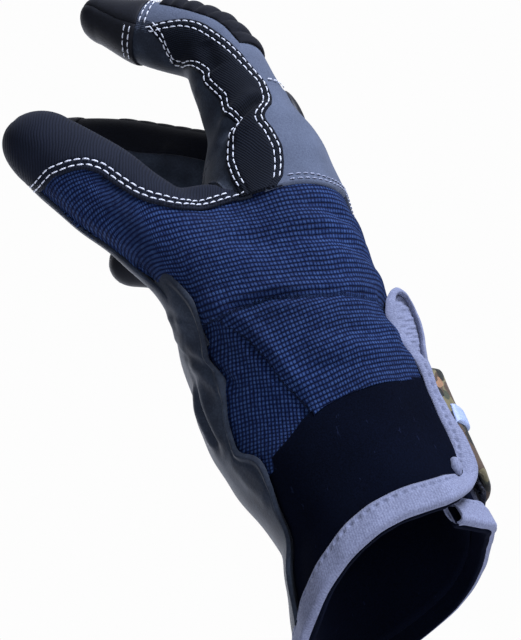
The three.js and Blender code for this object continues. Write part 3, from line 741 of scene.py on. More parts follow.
def knit():
    """Height z against place across: level rays from the thumb's side as far as the pivot, then rays that turn about
    it over the back to the far side."""
    x = np.linspace(-51, PIVOT[0], 96)
    bearing = np.linspace(0, 216, 150)[1:]
    low = np.interp(x, [-51, -48.6, -41, -33, -29.5, -26.5], [115.5, 113.3, 105.8, 96, 72, 36])
    low = np.where(x > -26.5, curve(CUFF_SEAM, x), low)
    low = averaged(low, np.ones(7))
    high = curve(CAP_SEAM, x) + 1.8
    low_back = cuff_seam(bearing)
    high_back = 105.3 + rise_of_seam(bearing) + 12 * smooth((bearing - 128) / 50)
    t = np.linspace(0, 1, 112)[:, None]
    near = from_side(x, low + (high - low) * t)
    back = from_bearing(bearing, low_back + (high_back - low_back) * t)
    return np.concatenate([near, back], 1)


def courses(grid):
    """Which row and column of cells each point of the knit is in, in mm. Rows run level, tilt a little towards the
    thumb, and climb where the cloth turns onto the back. They change course at both creases."""
    x, z = grid[..., 0], grid[..., 2]
    run = measured(grid)[0]
    left, right = np.clip(-6 - x, 0, 36), np.clip(x - 12, 0, 16)
    upper = smooth((z - 76) / 18)
    row = (z + .1 * x - .015 * right ** 2 - .0043 * left ** 2 * (1 - upper) + (.23 - .0035 * left) * left * upper
           + .55 * (z - 98) * smooth((-20 - x) / 12))
    below = 1.12 * z - .0045 * np.clip(x + 10, 0, 24) ** 2 - .012 * np.clip(x - 14, 0, 14) ** 2
    across = z < curve(CREASE_ACROSS, x) - .2
    near = grid[..., 1] < 0
    row = np.where(across, below, row)
    folded = near & across & (x < curve(CREASE_DOWN, z) - .2)
    return np.where(folded, z + .36 * x, run), np.where(folded, 1.2 * (x - .36 * z), row), across & near, folded


grid = knit()
column, row, under, folded = courses(grid)
x, z = grid[..., 0], grid[..., 2]
beneath = curve(CREASE_ACROSS, x) - z
beside = curve(CREASE_DOWN, z) - x
knit_lift = (-.7 + folds(grid) + (grid[..., 1] < -8) * (
    -.9 * under * np.exp(-np.clip(beneath, 0, None) / 5) * smooth((30 - x) / 12)
    - 1.6 * folded * np.exp(-np.clip(beside, 0, None) / 9)))
bearing = bearing_of(grid)


def flare(bearing, z):
    """How far the cloth stands off towards the slit's near edge, pulled by the closed tab."""
    return 2.0 * smooth((bearing - 38) / 26) * smooth((80 - z) / 16) * (bearing < 84)


knit_lift = knit_lift + flare(bearing, z) * .8
# the knit sinks under the thumb's leather, and under the tape of the loop
normals = outward(grid)
knit_lift = knit_lift - 3 * smooth((normals[..., 1] + .3) / .3) * (x < -15) * smooth((94 - z) / 4)
knit_lift = knit_lift - 1.4 * smooth((grid[..., 1] + 23.5) / 4) * (x > 15) * smooth((z - 52) / 5) * smooth((76 - z) / 5)
sewn("knit_back", grid, knit_lift, "knit", ["back_knit"], uv=(column, row), hole=in_slit(grid) & (bearing < 90),
     normals=normals)

# ---- Cuff: heights by bearing of the near flap's edge, of its tape's upper border, and of the far flap's edge ----
RIM = [(-146, -11.5), (-90, -13), (-64, -10.5), (-59, -8.8), (-50.6, -6.4), (-38.7, -1.8), (-27.5, 2), (-18.7, 4.2),
       (-8, 6), (3, 7), (14, 7), (30, 7.6), (43, 9.3), (52, 11.3), (60, 13.5), (68, 17)]
BORDER = [(-146, -4), (-90, -6), (-64, -3), (-55, .5), (-42, 5.2), (-31, 9), (-21, 11.9), (-10, 13.7), (3, 14.7),
          (14, 15), (30, 15.3), (40, 16.3)]
FAR_RIM = [(48, 5.8), (60, 4.8), (72, 3.6), (84, 3.2), (96, 4), (110, 5), (125, 4.4), (145, 1), (165, -3.5),
           (190, -8), (214, -11.5)]


def flap(first, last, rim, columns):
    """Height from the rim to a millimetre under the knit against bearing."""
    bearing = np.linspace(first, last, columns)
    low, high = curve(rim, bearing), cuff_seam(bearing) + 1.0
    t = np.linspace(0, 1, 60)[:, None]
    return from_bearing(bearing, low + (high - low) * t), bearing + 0 * t


def tucked(bearing):
    """How far out from the form the far flap's foot lies: deep inside the near flap first, level with it at the end."""
    return (-5.4 + 4.9 * smooth((bearing - 50) / 36) - 1.4 * smooth((bearing - 105) / 40)
            + 1.9 * smooth((bearing - 176) / 34))


grid, bearing = flap(-64, 66, RIM, 120)
lift = -.9 + folds(grid) * .6 + flare(bearing, grid[..., 2])
sewn("cuff_near_flap", grid, lift, "neoprene", ["cuff_near"], 1.6)
grid, bearing = flap(50, 214, FAR_RIM, 134)
lift = -.9 + folds(grid) * .4 + tucked(bearing) * smooth((30 - grid[..., 2]) / 14)
sewn("cuff_far_flap", grid, lift, "neoprene", ["cuff_far"], 1.6)

# ---- Palm leather ----
t = np.linspace(0, 1, 150)[:, None]
hem = averaged(curve(HEM, -5 + 95 * t[:, 0]), np.ones(9))[:, None]
bearing = hem + (-146 - hem) * crowded(120, .75)
foot = curve(BORDER, bearing) - 1.5
grid = np.swapaxes(from_bearing(bearing, foot + (90 - foot) * t), 0, 1)
e, f = from_edges(grid)
hem_roll = bell(e, 1.0, 1.0) - .25 * bell(e, 2.9, .6)
lift = rolled(np.minimum(e, f), .5) + hem_roll * smooth((89 - grid[..., 2]) / 8) + folds(grid) - .1
lift = lift - 1.2 * smooth((grid[..., 2] - 83) / 7) * smooth((bearing.T + 75) / 25)
sewn("palm_leather_panel", grid, lift, "palm_leather", ["palm_leather"], 1.2)


def hand_only(p):
    return form(p, thumb=False)


# The leather's strip at the fingers' roots is laid on the hand alone, and brought out onto the web beside the thumb
grid = from_bearing(np.linspace(-16, -146, 110), np.linspace(86, 124, 44)[:, None], hand_only)
inside = form(grid.reshape(-1, 3)).reshape(grid.shape[:2])
webbed = onto(grid)
out_of_thumb = (inside < 0) * (1 - smooth((-inside - 4) / 5))
grid = grid + (webbed - grid) * out_of_thumb[..., None]
under_knit = smooth((107.5 - grid[..., 2]) / 2) * smooth((-16 - grid[..., 1]) / 10)
lift = folds(grid) + .35 - 3 * under_knit - 1.5 * smooth((-30 - grid[..., 1]) / 5)
sewn("palm_leather_fingers_root", grid, lift, "palm_leather", wall=1.2)

# ---- Thumb ----
thumb = limbs["thumb"]
s = np.linspace(17, 83, 80)
near_edge = np.interp(s, [17, 24, 30, 40, 51, 64, 73, 83], [-52, -50, -56, -66, -72, -74, -74, -74])
far_edge = np.interp(s, [17, 42, 52, 64, 76, 83], [-220, -222, -200, -178, -156, -136])
grid = onto(thumb.at(s, near_edge + (far_edge - near_edge) * crowded(60)[:, None]))
lift = rolled(from_edges(grid)[0], .35) + folds(grid)
sewn("thumb_leather_panel", grid, lift, "palm_leather", ["thumb_leather"], 1.2)

# The cap's edge as arc length and turn: from the underside over the side that faces the index finger, and on round
CAP_NEAR = [(80, -110), (79.2, -90), (78.2, -55), (77.5, -26), (74.7, -4.5), (72.1, 7.8), (68.7, 13.5), (63.1, 14),
            (58.2, 15.5), (53.6, 21)]
CAP_FAR = [(49, 48), (47, 75), (45, 100), (46, 130), (50, 155), (60, 180), (72, 205), (80, 230)]
# and on over the web to the foot of the index finger: its seam and, above it, where the tongue turns to the palm
WEB_NEAR = [(-18.5, -55.7, 102.3), (-15.2, -53.3, 101.3), (-10.8, -49.1, 102), (-6.4, -45.4, 103.1),
            (-2.6, -44.2, 103.8), (1.6, -43.8, 103.9), (6.4, -43.7, 103.5), (12.3, -42.7, 103.1)]
WEB_FAR = [(-15, -35, 108), (-11, -34, 109), (-7.5, -36, 111), (-5.5, -40, 111.3), (-3, -42.6, 109), (0, -43.4, 107),
           (4, -43.7, 105.3), (8, -43.6, 104.8), (13, -42.7, 104.5)]


def evened(points, count, passes=6, tie=True):
    """A run of points with even steps and softened corners, brought onto the form unless it is left untied."""
    run = lengths(np.array(points, float))
    out = relaxed(read(np.linspace(0, run[-1], count), run, points), passes)
    return onto(out) if tie else out


def gap_to(grid, line):
    """Distance of each grid point from a dense line of points."""
    q = grid.reshape(-1, 1, 3)
    return np.sqrt(((q - line[None]) ** 2).sum(-1).min(1)).reshape(grid.shape[:-1])


def inset(line, by):
    """The line moved over the form at right angles to itself, to the left of its heading."""
    ahead = unit(np.gradient(line, axis=0))
    return onto(line + np.cross(outward(line), ahead) * by)


near = np.array(CAP_NEAR, float)
cap_seam = evened(np.concatenate([thumb.at(near[:, 0], near[:, 1]), WEB_NEAR]), 420, 10)


def cap():
    """Lines at a constant turn from the tip's pole to a closed edge."""
    edge = np.array(CAP_NEAR + CAP_FAR + [(80, 260)], float)
    run = np.concatenate([[0], np.cumsum(np.hypot(np.diff(edge[:, 0]), np.diff(edge[:, 1]) * .22))])
    even = np.linspace(0, run[-1], 231)[:-1]
    s, turn = np.interp(even, run, edge[:, 0]), np.interp(even, run, edge[:, 1])
    s, turn = relaxed(s, 4), relaxed(turn, 4)
    t = np.concatenate([[0, .015, .03, .05, .075], np.linspace(.1, .999, 60)])[:, None]
    grid = onto(thumb.at(s + (thumb.length - .02 - s) * t, turn + 0 * t))
    grid[-1] = grid[-1].mean(0)
    return grid


def cap_lift(grid):
    """Height of the cap: rolled at its seam, with a dent under each row of stitches."""
    edge_gap = np.minimum(from_edges(grid)[0], gap_to(grid, cap_seam) + .05)
    return rolled(edge_gap, .95, (1.2, 2.7)) - .45 + folds(grid)


grid = cap()
sewn("thumb_cap_ribbed", grid, cap_lift(grid), "ribbed_reinforcement", ["thumb_cap"], loop=True)


def web():
    """The cap's tongue: from the seam over the web between thumb and index finger. Points between its two edges start
    on an arch above their chord and come down onto the form."""
    start = np.argmin(np.linalg.norm(cap_seam - thumb.at(62, 14), axis=1))
    near = cap_seam[np.linspace(start, len(cap_seam) - 1, 110).astype(int)]
    far = evened(np.concatenate([thumb.at(np.array([62, 55, 48.]), np.array([120, 130, 140])), WEB_FAR]), 110)
    t = np.concatenate([np.linspace(0, .16, 8), np.linspace(.2, 1, 30)])[:, None, None]
    arch = np.sin(np.pi * t) * np.array([-2.5, -2.5, 5])
    arch = arch * np.clip(np.linalg.norm(far - near, axis=1) / 8, 0, 1)[:, None]
    return onto(near * (1 - t) + far * t + arch, steps=6)


grid = web()
lift = cap_lift(grid) + .02 - 1.5 * np.exp(-from_edges(grid)[1] / .9)
sewn("thumb_cap_tongue", grid, lift, "ribbed_reinforcement")
# two rows of stitches, each cut off where the seam goes under the index finger
cap_lines = [(inset(cap_seam, by)[30:-last], .6) for by, last in ((1.15, 40), (2.65, 66))]

# ---- Index finger ----
index = limbs["index"]
# The side panel's two edges, as arc length and turn
PANEL_BACK_EDGE = [(-17, -22), (-14.5, -5), (-12, 6), (-8, 13), (-3, 18), (3, 17), (7, 13), (10, 26), (15, 37),
                   (21, 40), (27, 31), (34, 20), (42, 9.5), (52, 3), (58, -5), (63, -16)]
PANEL_PALM_EDGE = [(-17, -50), (-12, -48), (-8, -47), (-2, -43), (3, -36), (6, -29), (9, -17), (14, -28), (17, -29),
                   (20, -27), (24, -34), (28, -41), (31, -38), (36, -50), (44, -73), (52, -78), (55, -60), (57, -43),
                   (60, -31), (63, -20)]


def flattened(grid, name):
    """Presses a finger's sides flat where its neighbours touch it."""
    low, high, low_drift, high_drift = PRESSED[name]
    drift = np.clip(13 - grid[..., 0], 0, None)
    soft = lambda gap: .5 * np.logaddexp(0, gap / .5)
    y = grid[..., 1]
    y = (high + high_drift * drift) - soft(high + high_drift * drift - y)
    y = (low + low_drift * drift) + soft(y - low - low_drift * drift)
    out = grid.copy()
    out[..., 1] = y
    return out


def on_finger(name, s, turn):
    return flattened(onto(limbs[name].at(s, turn), steps=3), name)


def strip_over(name, s, low, high, t):
    """Arc length s along a finger against a turn that runs from low to high as t runs from 0 to 1."""
    return on_finger(name, s, low + (high - low) * t)


s = np.linspace(-14.6, 63, 200)
panel_low, panel_high = (averaged(curve(edge, s), [1, 2, 3, 2, 1]) for edge in (PANEL_PALM_EDGE, PANEL_BACK_EDGE))
turn = panel_low + (panel_high - panel_low) * crowded(76, .65)[:, None]
grid = on_finger("index", s, turn)
PANEL_ROWS = (1.1, 2.7)  # stitch rows, from the panel's edge
lift = rolled(np.minimum(*from_edges(grid)), 1.1, PANEL_ROWS) + folds(grid)
sewn("index_side_panel_weave", grid, lift, "diagonal_weave", ["index_side_panel"],
     uv=(measured(grid)[0], np.radians(turn) * 12))
panel_lines = [(line_at(grid, at, last), foot) for last, foot in ((False, 107), (True, 105.6)) for at in PANEL_ROWS]
panel_lines = [(line[line[:, 2] > foot], .85) for line, foot in panel_lines]
base_line = [(on_finger("index", 22.3, np.linspace(45, 86, 30)), .35)]

s = np.linspace(18, 68, 90)
t = np.linspace(0, 1, 60)[:, None]
grid = strip_over("index", s, curve(PANEL_BACK_EDGE, s) - 14, 188, t)
sewn("index_back_strip", grid, folds(grid), "grey_fabric", ["index_back"])

s = np.linspace(-15, 68, 130)
grid = strip_over("index", s, curve(PANEL_PALM_EDGE, s) + 14, -182, t)
sewn("index_palm_leather", grid, folds(grid), "palm_leather", ["index_palm"])


def fingertip(name, start, low, high):
    """Half a cap: turn from low to high against arc length from its hem to the tip's pole."""
    limb = limbs[name]
    s = np.concatenate([np.linspace(start, limb.length - 3, 34), limb.length - np.array([2, 1.2, .6, .2, .01])])
    grid = flattened(limb.at(s, low(s) + (high(s) - low(s)) * crowded(44)[:, None]), name)
    hem = measured(np.swapaxes(grid, 0, 1))[1].T
    closing = np.clip((limb.length - s) / 3, 0, 1)
    lift = (rolled(np.minimum(*from_edges(grid)), .6) - .2) * closing + .3 * (1 - np.exp(-hem / .8)) + .1
    return grid, lift + folds(grid)


def half_turns(near):
    """The two halves of a finger, split at a turn on the thumb's side that may change along it."""
    return (near, lambda s: np.full_like(s, 180.0)), (lambda s: np.full_like(s, -180.0), near)


split = lambda s: np.interp(s, [60, 66, 73, 79, 85, 90], [-19, -19, -18, -13, -4, 0])
for part, (low, high) in zip(("tip_back", "tip_palm"), half_turns(split)):
    grid, lift = fingertip("index", 66.5, low, high)
    sewn("index_" + part + "_cap", grid, lift, "fingertip_fabric", ["index_" + part])

tip_lines = [(on_finger("index", at, np.linspace(first, last, 50)), lift) for at, first, last, lift in
             ((65.6, -15, 70, .3), (63.9, -15, 70, .3), (69.5, -24, -100, .75), (67.8, -24, -100, .75))]

# ---- Curled fingers ----
for name in ("middle", "ring", "little"):
    limb = limbs[name]
    start = limb.length - 21
    near = (lambda s: np.interp(s, [20, 30, 44, 60], [-2, -6, -17, -17])) if name == "middle" else (lambda s: 0 * s)
    for part, (low, high) in zip(("back", "palm"), half_turns(near)):
        s = np.linspace(11, start + 2, 60)
        grid = flattened(limb.at(s, low(s) + (high(s) - low(s)) * crowded(48)[:, None]), name)
        lift = rolled(np.minimum(*from_edges(grid)), .4) - .15 + folds(grid)
        slot = "finger_fabric" if part == "back" else "palm_leather"
        sewn(name + "_" + part + "_panel", grid, lift, slot, [name + "_" + part])
        grid, lift = fingertip(name, start, low, high)
        tip = name + "_tip_" + part
        sewn(tip + "_cap", grid, lift, "fingertip_fabric", [tip])

# ---- Back of the hand ----
s = np.linspace(-15.6, 20, 60)
grid = strip_over("index", s, curve(PANEL_BACK_EDGE, s) - 12, 176, np.linspace(0, 1, 70)[:, None])
below_seam = smooth((103.6 + rise_of_seam(bearing_of(grid)) - grid[..., 2]) / .8)
sewn("back_panel_index", grid, .3 - 2.2 * below_seam + folds(grid), "grey_fabric")


def back_panel():
    """Rays from behind that first come level and then from ever higher above the knuckles, at even steps across."""
    across = np.linspace(-20, 42, 90)
    rise = np.concatenate([np.zeros(16), np.linspace(0, 74, 50)[1:]])[:, None]
    seam = 103.2 + rise_of_seam(np.degrees(np.arctan2(28, -5 - across)))
    t = np.concatenate([np.linspace(0, 1, 16), np.ones(49)])[:, None]
    height = seam + (115 - seam) * t
    tilt = np.radians(rise) + 0 * across
    out = np.stack([np.cos(tilt), 0 * tilt, np.sin(tilt)], -1)
    centre = np.stack([0 * tilt + 2, 0 * tilt + across, height], -1)
    return cast(centre + BEHIND * out, -out)


grid = back_panel()
sewn("back_panel_knuckles", grid, rolled(measured(grid)[1], .3) + folds(grid), "grey_fabric", ["back_panel"])
bearing = np.linspace(118, 186, 60)
low = 103.2 + rise_of_seam(bearing)
high = np.interp(bearing, [150, 176, 186], [128, 127, 121])
grid = from_bearing(bearing, low + (high - low) * np.linspace(0, 1, 40)[:, None])
sewn("back_panel_far_side", grid, rolled(measured(grid)[1], .2) + folds(grid), "grey_fabric")
seam_bearing = np.linspace(14, 172, 280)
seam_lines = [(from_bearing(seam_bearing, at + rise_of_seam(seam_bearing)), .38) for at in (104.6, 106.2)]


# ---- Ribs and pad ----
def rib_strip(name, first, last, count, high, side=((0, 46), (1, 46))):
    """Accordion pleats: height |sin|^0.6 along the finger, falling to nothing at the strip's sides. The table gives
    the turn of the strip's side by arc length, and its other side lies as far down the finger's other flank."""
    s = np.linspace(first, last, count * 14 + 1)
    t = np.linspace(0, 1, 46)[:, None]
    low = curve(side, s)
    grid = flattened(limbs[name].at(s, low + (180 - 2 * low) * t), name)
    wave = np.abs(np.sin((s - first) / (last - first) * count * np.pi)) ** .6
    sides = np.clip(1 - np.abs(2 * t - 1) ** 7, 0, 1)
    lift = .1 + (.3 + high * wave) * sides + folds(grid)
    sewn(name + "_rib_pleats", grid, lift, "rib_fabric", [name + "_ribs"], .8)


rib_strip("index", 35.5, 62, 7, 1.1, [(36, 30), (42, 27), (49, 21), (55, 24), (62, 34)])
rib_strip("middle", 28, 56, 5, .3)
rib_strip("ring", 26, 50, 4, .9)
rib_strip("little", 22, 42, 3, .9)

# The knuckle pad: an oval dome, 22 mm by 16 mm, on the index finger's root
turn, radius = np.linspace(0, 2 * np.pi, 49)[:-1], np.linspace(0, 1, 16)[:, None]
grid = index.at(13 + 11 * radius * np.cos(turn), 108 + np.degrees(8.2 * radius * np.sin(turn) / 14))
dome = np.sqrt(np.clip(1 - radius ** 2.6, 0, 1)) * 2.4 + 0 * turn
sewn("knuckle_pad_dome", grid, dome + .1, "black_rubber", ["knuckle_pad"], .8, loop=True)


# ---- Bindings ----
def tape(name, edge, border, normal, nodes, thick=3.2, sunk=1.9, seam=1.8):
    """Folded tape between its border on the cloth and the flap's edge. Its section leaves the border, swells to the
    outer face with a dent at each stitch, turns round the edge in a half circle and comes back inside."""
    half = thick / 2
    along = unit(edge - border)
    edge = edge - along * half * .8
    wide = np.linalg.norm(edge - border, axis=1)[None]
    t = np.concatenate([np.linspace(0, 1, 26) ** .9, np.ones(7), np.linspace(1, .25, 8)])[:, None]
    bend = np.concatenate([np.zeros(26), np.linspace(0, np.pi, 9)[1:-1], np.full(8, np.pi)])[:, None]
    run = lengths(edge)
    off, face = t * wide, bend == 0
    puff = np.where(face, 1 - np.exp(-off / .8) * .85, 1)
    dent = .75 * bell(off, seam, .5) * face * (.3 + .7 * np.sin(run * np.pi / 2.6) ** 2)
    ripple = .1 * np.sin(run * .62) + .08 * np.sin(run * .27 + 1)
    high = half * np.cos(bend) * puff - sunk + half + ripple - dent
    grid = border + (edge - border) * t[..., None] + along * (half * np.sin(bend) * .8)[..., None]
    grid = grid + normal * high[..., None]
    uv = (np.broadcast_to(run, grid.shape[:2]), np.broadcast_to(t * 8 + bend * 2, grid.shape[:2]))
    out = normal * np.cos(bend)[..., None] + along * np.sin(bend)[..., None]
    sewn(name, grid, np.zeros(grid.shape[:2]), "binding", nodes, .5, uv, normals=out)


def ribbon(edge, border, count, passes, towards=None):
    """Two lines in even steps, and the direction in which the band between them faces."""
    run = lengths(edge + border)
    even = np.linspace(0, run[-1], count)
    edge, border = (relaxed(read(even, run, line), passes) for line in (edge, border))
    normal = unit(np.cross(unit(np.gradient(edge + border, axis=0)), edge - border))
    side = outward((edge + border) / 2) if towards is None else np.array(towards, float)
    normal = normal * np.sign((normal * side).sum(-1))[:, None]
    for _ in range(6):
        normal[1:-1] = unit(normal[:-2] + normal[1:-1] + normal[2:])
    return edge, border, normal


# The near flap's tape runs along the rim, by bearing, then round a corner and up the slit
bearing = np.linspace(-146, 36, 30)
CORNER = [(23.5, -25, 9.3, 21.6, -26.6, 16), (26.9, -19.5, 11.9, 23.4, -21, 17.2), (29.6, -15, 15, 24.4, -19, 19.2),
          (31.1, -14, 18, 25.4, -18.5, 21.6), (31.6, -14, 21.6, 26.6, -18, 24), (31.4, -14, 26.7, 27.0, -18, 28),
          (30.6, -14.5, 34, 27.2, -18, 34.5), (29.9, -15, 41, 27.3, -18, 41), (30.4, -14.7, 47, 27.7, -18, 47),
          (30.8, -14.5, 51, 27.5, -18.1, 52)]
# and it goes on round the loop at the slit's top and down the far edge
LOOP = [(30, -15.2, 53.5, 27, -18.2, 55), (28.8, -16.8, 57, 25.5, -19.5, 58.5), (28, -17.4, 61, 25, -19.3, 62.5),
        (28.1, -17.3, 65.5, 25.5, -19.1, 67.5), (29.3, -16.9, 70, 27.4, -18.3, 71.8),
        (30.8, -15.7, 73, 30.2, -16.4, 74.9), (32.2, -14.2, 73.9, 32.3, -14.6, 75.9),
        (33.4, -12.8, 72.6, 34, -12.6, 74.4), (33.9, -11.8, 69.3, 34.9, -11.2, 70.4),
        (33.5, -11.5, 64.8, 34.7, -10.8, 65.4), (32.6, -11.6, 60, 33.8, -10.8, 60), (31.2, -12, 56, 32.5, -10.8, 56),
        (29.4, -11, 51, 31.2, -9, 51), (28.4, -8.5, 45, 30.4, -5.5, 45), (28, -6, 34, 30, -3, 34),
        (27.4, -4.5, 22, 29.4, -1.5, 22), (27, -3.5, 10, 29, -.5, 10)]
corner, loop = np.array(CORNER), np.array(LOOP)
rim_edge = from_bearing(bearing, curve(RIM, bearing))
rim_border = from_bearing(bearing, curve(BORDER, bearing))
edge = np.concatenate([rim_edge, corner[:, :3]])
border = np.concatenate([rim_border, corner[:, 3:]])
edge, border, normal = ribbon(edge, border, 470, 12)
tape("wrist_binding_near_tape", edge, border, normal, ["wrist_binding_near"])
both = np.concatenate([corner[-2:], loop])
edge, border, normal = ribbon(both[:, :3], both[:, 3:], 330, 8, (.5, -.85, 0))
tape("slit_binding_loop_tape", edge, border, normal, ["slit_binding"], thick=2.2, sunk=1.5, seam=-5)

# Where the tape turns the corner its surplus is pushed up into a pucker: a superellipsoid with a wrinkle round it
turn, rise = np.linspace(0, 2 * np.pi, 33)[:-1], np.linspace(-.5, .5, 17)[:, None] * np.pi
across, out = unit(np.array([.87, .46, -.16])), unit(np.array([.45, -.85, 0]))
long = np.cross(out, across)
swell = 1 + .08 * np.sin(3 * turn + 5 * rise)
grid = (np.array([25.5, -20.7, 18.8]) + across * (1.6 * swell * np.cos(rise) * np.cos(turn))[..., None]
        + out * (1.5 * swell * np.cos(rise) * np.sin(turn))[..., None]
        + long * (2.7 * np.sin(rise) + 0 * turn)[..., None])
sewn("slit_binding_corner_pucker", grid, np.zeros(grid.shape[:2]), "binding", wall=0, loop=True,
     normals=unit(grid - grid.reshape(-1, 3).mean(0)))

# Crinkled back of the tape inside the loop
rise, t = np.linspace(0, 1, 70), np.linspace(0, 1, 36)[:, None]
left, right = (read(rise, [0, .3, .7, .88, 1], side) for side in (
    [(29.4, -15.4, 54), (28.3, -16.3, 60), (28.7, -16.1, 67), (30.2, -15.3, 72), (31.8, -14.2, 74.6)],
    [(31.4, -11.3, 54), (33.4, -10.8, 60), (34.7, -10.7, 67), (34.5, -11.2, 71.6), (33.2, -12.8, 74.4)]))
grid = left[None] * (1 - t[..., None]) + right[None] * t[..., None]
facing = unit(np.cross(np.gradient(grid, axis=0), np.gradient(grid, axis=1)))
facing = facing * np.sign((facing * np.array([.6, -.8, 0])).sum(-1))[..., None]
crinkle = (.16 * np.sin(rise * 46 + 3 * t) + .14 * np.sin(rise * 83 - 6 * t + 1)) * np.sin(np.pi * t) ** .5 - 1.1
sewn("slit_gusset", grid, crinkle, "binding", wall=.8, normals=facing)

# The far flap's tape: it begins inside the near flap, where its folded end gapes
bearing = np.linspace(50, 214, 176)
inward = tucked(bearing)[:, None]
edge = from_bearing(bearing, curve(FAR_RIM, bearing))
border = from_bearing(bearing, curve(FAR_RIM, bearing) + 8.4)
n_edge, n_border = outward(edge), outward(border)
edge, border = edge + n_edge * inward, border + n_border * inward
tape("wrist_binding_far_tape", edge, border, n_border, ["wrist_binding_far"])
# the gaping end is a cup: an oval swept along the tape, turned in at its lip and back down to a closed foot
turn = np.linspace(0, 2 * np.pi, 33)[:-1]
up, out = unit(border[0] - edge[0]), n_edge[0]
away = -unit(np.cross(up, out))
step = np.linspace(0, 9, 46)[:, None]
run = np.interp(step, range(10), [-7, -6.5, -4, -2, 0, .7, .6, -1, -3.5, -4])
wide = np.interp(step, range(10), [0, .6, .9, 1.02, 1.1, 1.02, .86, .76, .66, 0])
oval = up * (3.3 * np.cos(turn))[:, None] + out * (2.0 * np.sin(turn))[:, None]
slant = (run + 7) / 7.7 * (1.3 * np.cos(turn))
grid = edge[0] + up * 3.1 - out * .3 + away * (run + slant)[..., None] + oval * wide[..., None]
sewn("wrist_binding_far_gaping_end", grid, np.zeros(grid.shape[:2]), "binding", wall=0, loop=True,
     normals=np.broadcast_to(unit(oval), grid.shape))


# ---- Closure ----
def from_behind(y, z):
    """Points of the form met by level rays from behind."""
    y, z = np.broadcast_arrays(np.asarray(y, float), np.asarray(z, float))
    return cast(np.stack([np.full_like(y, BEHIND), y, z], -1), np.array([-1.0, 0, 0]))


def plate(name, outline, lift, thick, slot, node, tab=False):
    """A flat piece on the back of the wrist: rings that shrink from its outline to its middle."""
    ring = evened(outline + outline[:1], 161, 3, False)[:-1]
    middle = ring.mean(0)
    t = np.concatenate([np.linspace(0, .3, 10), np.linspace(.3, 1, 16)[1:]])[:, None, None]
    flat = ring[None] * (1 - t) + middle * t
    grid = from_behind(flat[..., 0], flat[..., 1])
    up = lift + thick * (.35 + .65 * (1 - np.exp(-from_edges(grid)[0] / .45)))
    if tab:
        up = up - .5 * np.clip(flat[..., 0] / 18, -1, 1) ** 2 - 2.2 * smooth((-6 - flat[..., 0]) / 8)
    sewn(name, grid, up, slot, [node], thick, loop=True)


plate("loop_patch_pile", [(-8, 13), (22, 14), (22, 38), (-4, 36)], .9, 1.6, "loop_pile", "loop_patch")
plate("closure_tab_webbing", [(-14, 32), (-14, 46), (-12, 51), (-3, 52), (8, 47), (15, 38), (18, 30), (16, 21),
                              (11, 16), (0, 15.5), (-11, 19)], 3.3, 2.0, "camouflage_fabric", "closure_tab", True)
plate("tab_patch_raised", [(-11.5, 33), (-4, 32), (-3.5, 38), (-10.5, 39)], 4.8, 1.7, "patch_rubber", "tab_patch", True)

# ---- Lining, with its foot hidden behind the tapes, and stitches ----
bearing = np.linspace(-146, 214, 145)[:-1]
low = np.maximum(np.where(bearing < 62, curve(RIM, bearing), curve(FAR_RIM, bearing)) + 5, -60)
t = np.linspace(0, 1, 50)[:, None]
grid = from_bearing(bearing, low + (116 - low) * t, hand_only)
sewn("hand_lining", grid, np.full(grid.shape[:2], -4.6), "neoprene", wall=.5, loop=True, hole=in_slit(grid, .5),
     normals=outward(grid, hand_only))

stitched("thumb_cap_stitches", cap_lines, WHITE_THREAD)
stitched("side_panel_stitches", panel_lines, WHITE_THREAD)
stitched("index_tip_stitches", tip_lines + base_line, WHITE_THREAD)
stitched("back_seam_stitches", seam_lines, GREY_THREAD)

# ---- Studio ----
CAMERA = dict(elevation=-27.0, roll=22.0, distance=350.0, pixel=(398, 590), fov=27.2, size=(521, 640))


def placed(name, data, right, up, ahead, place):
    """A camera or lamp at a place in metres that looks ahead."""
    obj = bpy.data.objects.new(name, data)
    matrix = np.eye(4)
    matrix[:3] = np.stack([right, up, -ahead, place], 1)
    obj.matrix_world = Matrix(matrix.tolist())
    bpy.context.scene.collection.objects.link(obj)
    return obj


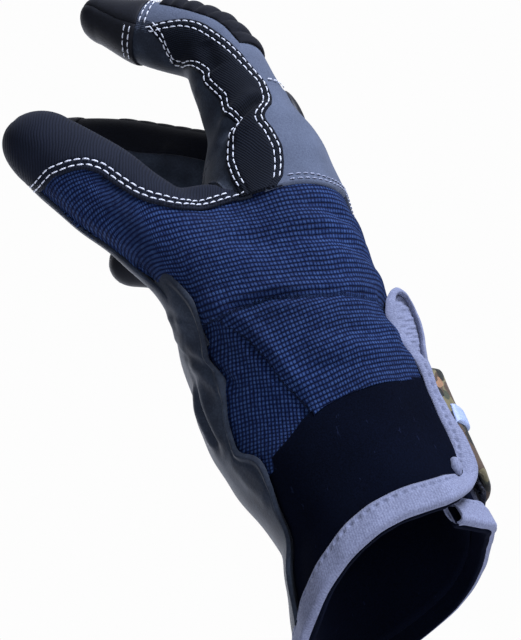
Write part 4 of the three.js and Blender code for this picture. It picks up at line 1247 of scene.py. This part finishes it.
def camera():
    """Looks along +Y from below the wrist, turned clockwise, and is placed so that the origin falls on its pixel."""
    e, r = np.radians(CAMERA["elevation"]), np.radians(CAMERA["roll"])
    ahead = np.array([0, np.cos(e), -np.sin(e)])
    level = np.array([1.0, 0, 0])
    up = np.cross(level, ahead)
    right = np.cos(r) * level - np.sin(r) * up
    up = np.sin(r) * level + np.cos(r) * up
    half_height = np.tan(np.radians(CAMERA["fov"] / 2))
    width, height = CAMERA["size"]
    focal = height / 2 / half_height
    dx, dy = (CAMERA["pixel"][0] - width / 2) / focal, (height / 2 - CAMERA["pixel"][1]) / focal
    data = bpy.data.cameras.new("camera")
    data.sensor_fit = "VERTICAL"
    data.sensor_height = 36
    data.lens = 18 / half_height
    data.clip_start = .01
    place = -CAMERA["distance"] * (ahead + right * dx + up * dy) * MM
    bpy.context.scene.camera = placed("camera", data, right, up, ahead, place)


def lamp(name, place, target, size, watts, colour):
    """A square area lamp at a place in metres, turned to its target."""
    data = bpy.data.lights.new(name, "AREA")
    data.size, data.energy, data.color = size, watts, linear(colour)[:3]
    ahead = unit(np.array(target, float) - np.array(place, float))
    right = unit(np.cross(ahead, [0, 0, 1.0]))
    placed(name, data, right, np.cross(right, ahead), ahead, place)


camera()
lamp("key", (.62, -.42, .48), (0, 0, .09), .35, 14.5, "#e6edff")
lamp("fill", (-.2, -.8, .1), (0, 0, .1), .6, 1.4, "#e6edff")
lamp("far_side", (-.45, .75, .45), (0, 0, .1), .8, 9, "#eef2ff")
lamp("overhead", (.1, .5, 1.5), (0, 0, 0), 1.6, 9, "#eef2ff")
# The world lights softly, and shows white behind the glove
world = bpy.data.worlds.new("studio")
world.use_nodes = True
tree = world.node_tree
soft = tree.nodes["Background"]
soft.inputs[0].default_value = linear("#f4f6ff")
soft.inputs[1].default_value = .17
white = add(tree, "ShaderNodeBackground", {"Color": linear("#fdfdfd")})
seen = add(tree, "ShaderNodeLightPath")
mixed = add(tree, "ShaderNodeMixShader", links={0: (seen, "Is Camera Ray"), 1: soft, 2: white})
tree.links.new(mixed.outputs[0], tree.nodes["World Output"].inputs[0])
bpy.context.scene.world = world
bpy.context.scene.view_settings.view_transform = "Standard"

floor = np.stack([*np.meshgrid(np.linspace(-1500, 1500, 9), np.linspace(-1500, 1500, 9)), np.full((9, 9), -400.0)], -1)
floor_look = bpy.data.materials.new("pale_floor")
floor_look.use_nodes = True
floor_look.node_tree.nodes["Principled BSDF"].inputs["Base Color"].default_value = linear("#f6f6f7")
floor_look.node_tree.nodes["Principled BSDF"].inputs["Roughness"].default_value = .8
make("floor", floor.reshape(-1, 3), [quads(9, 9)], floor_look)
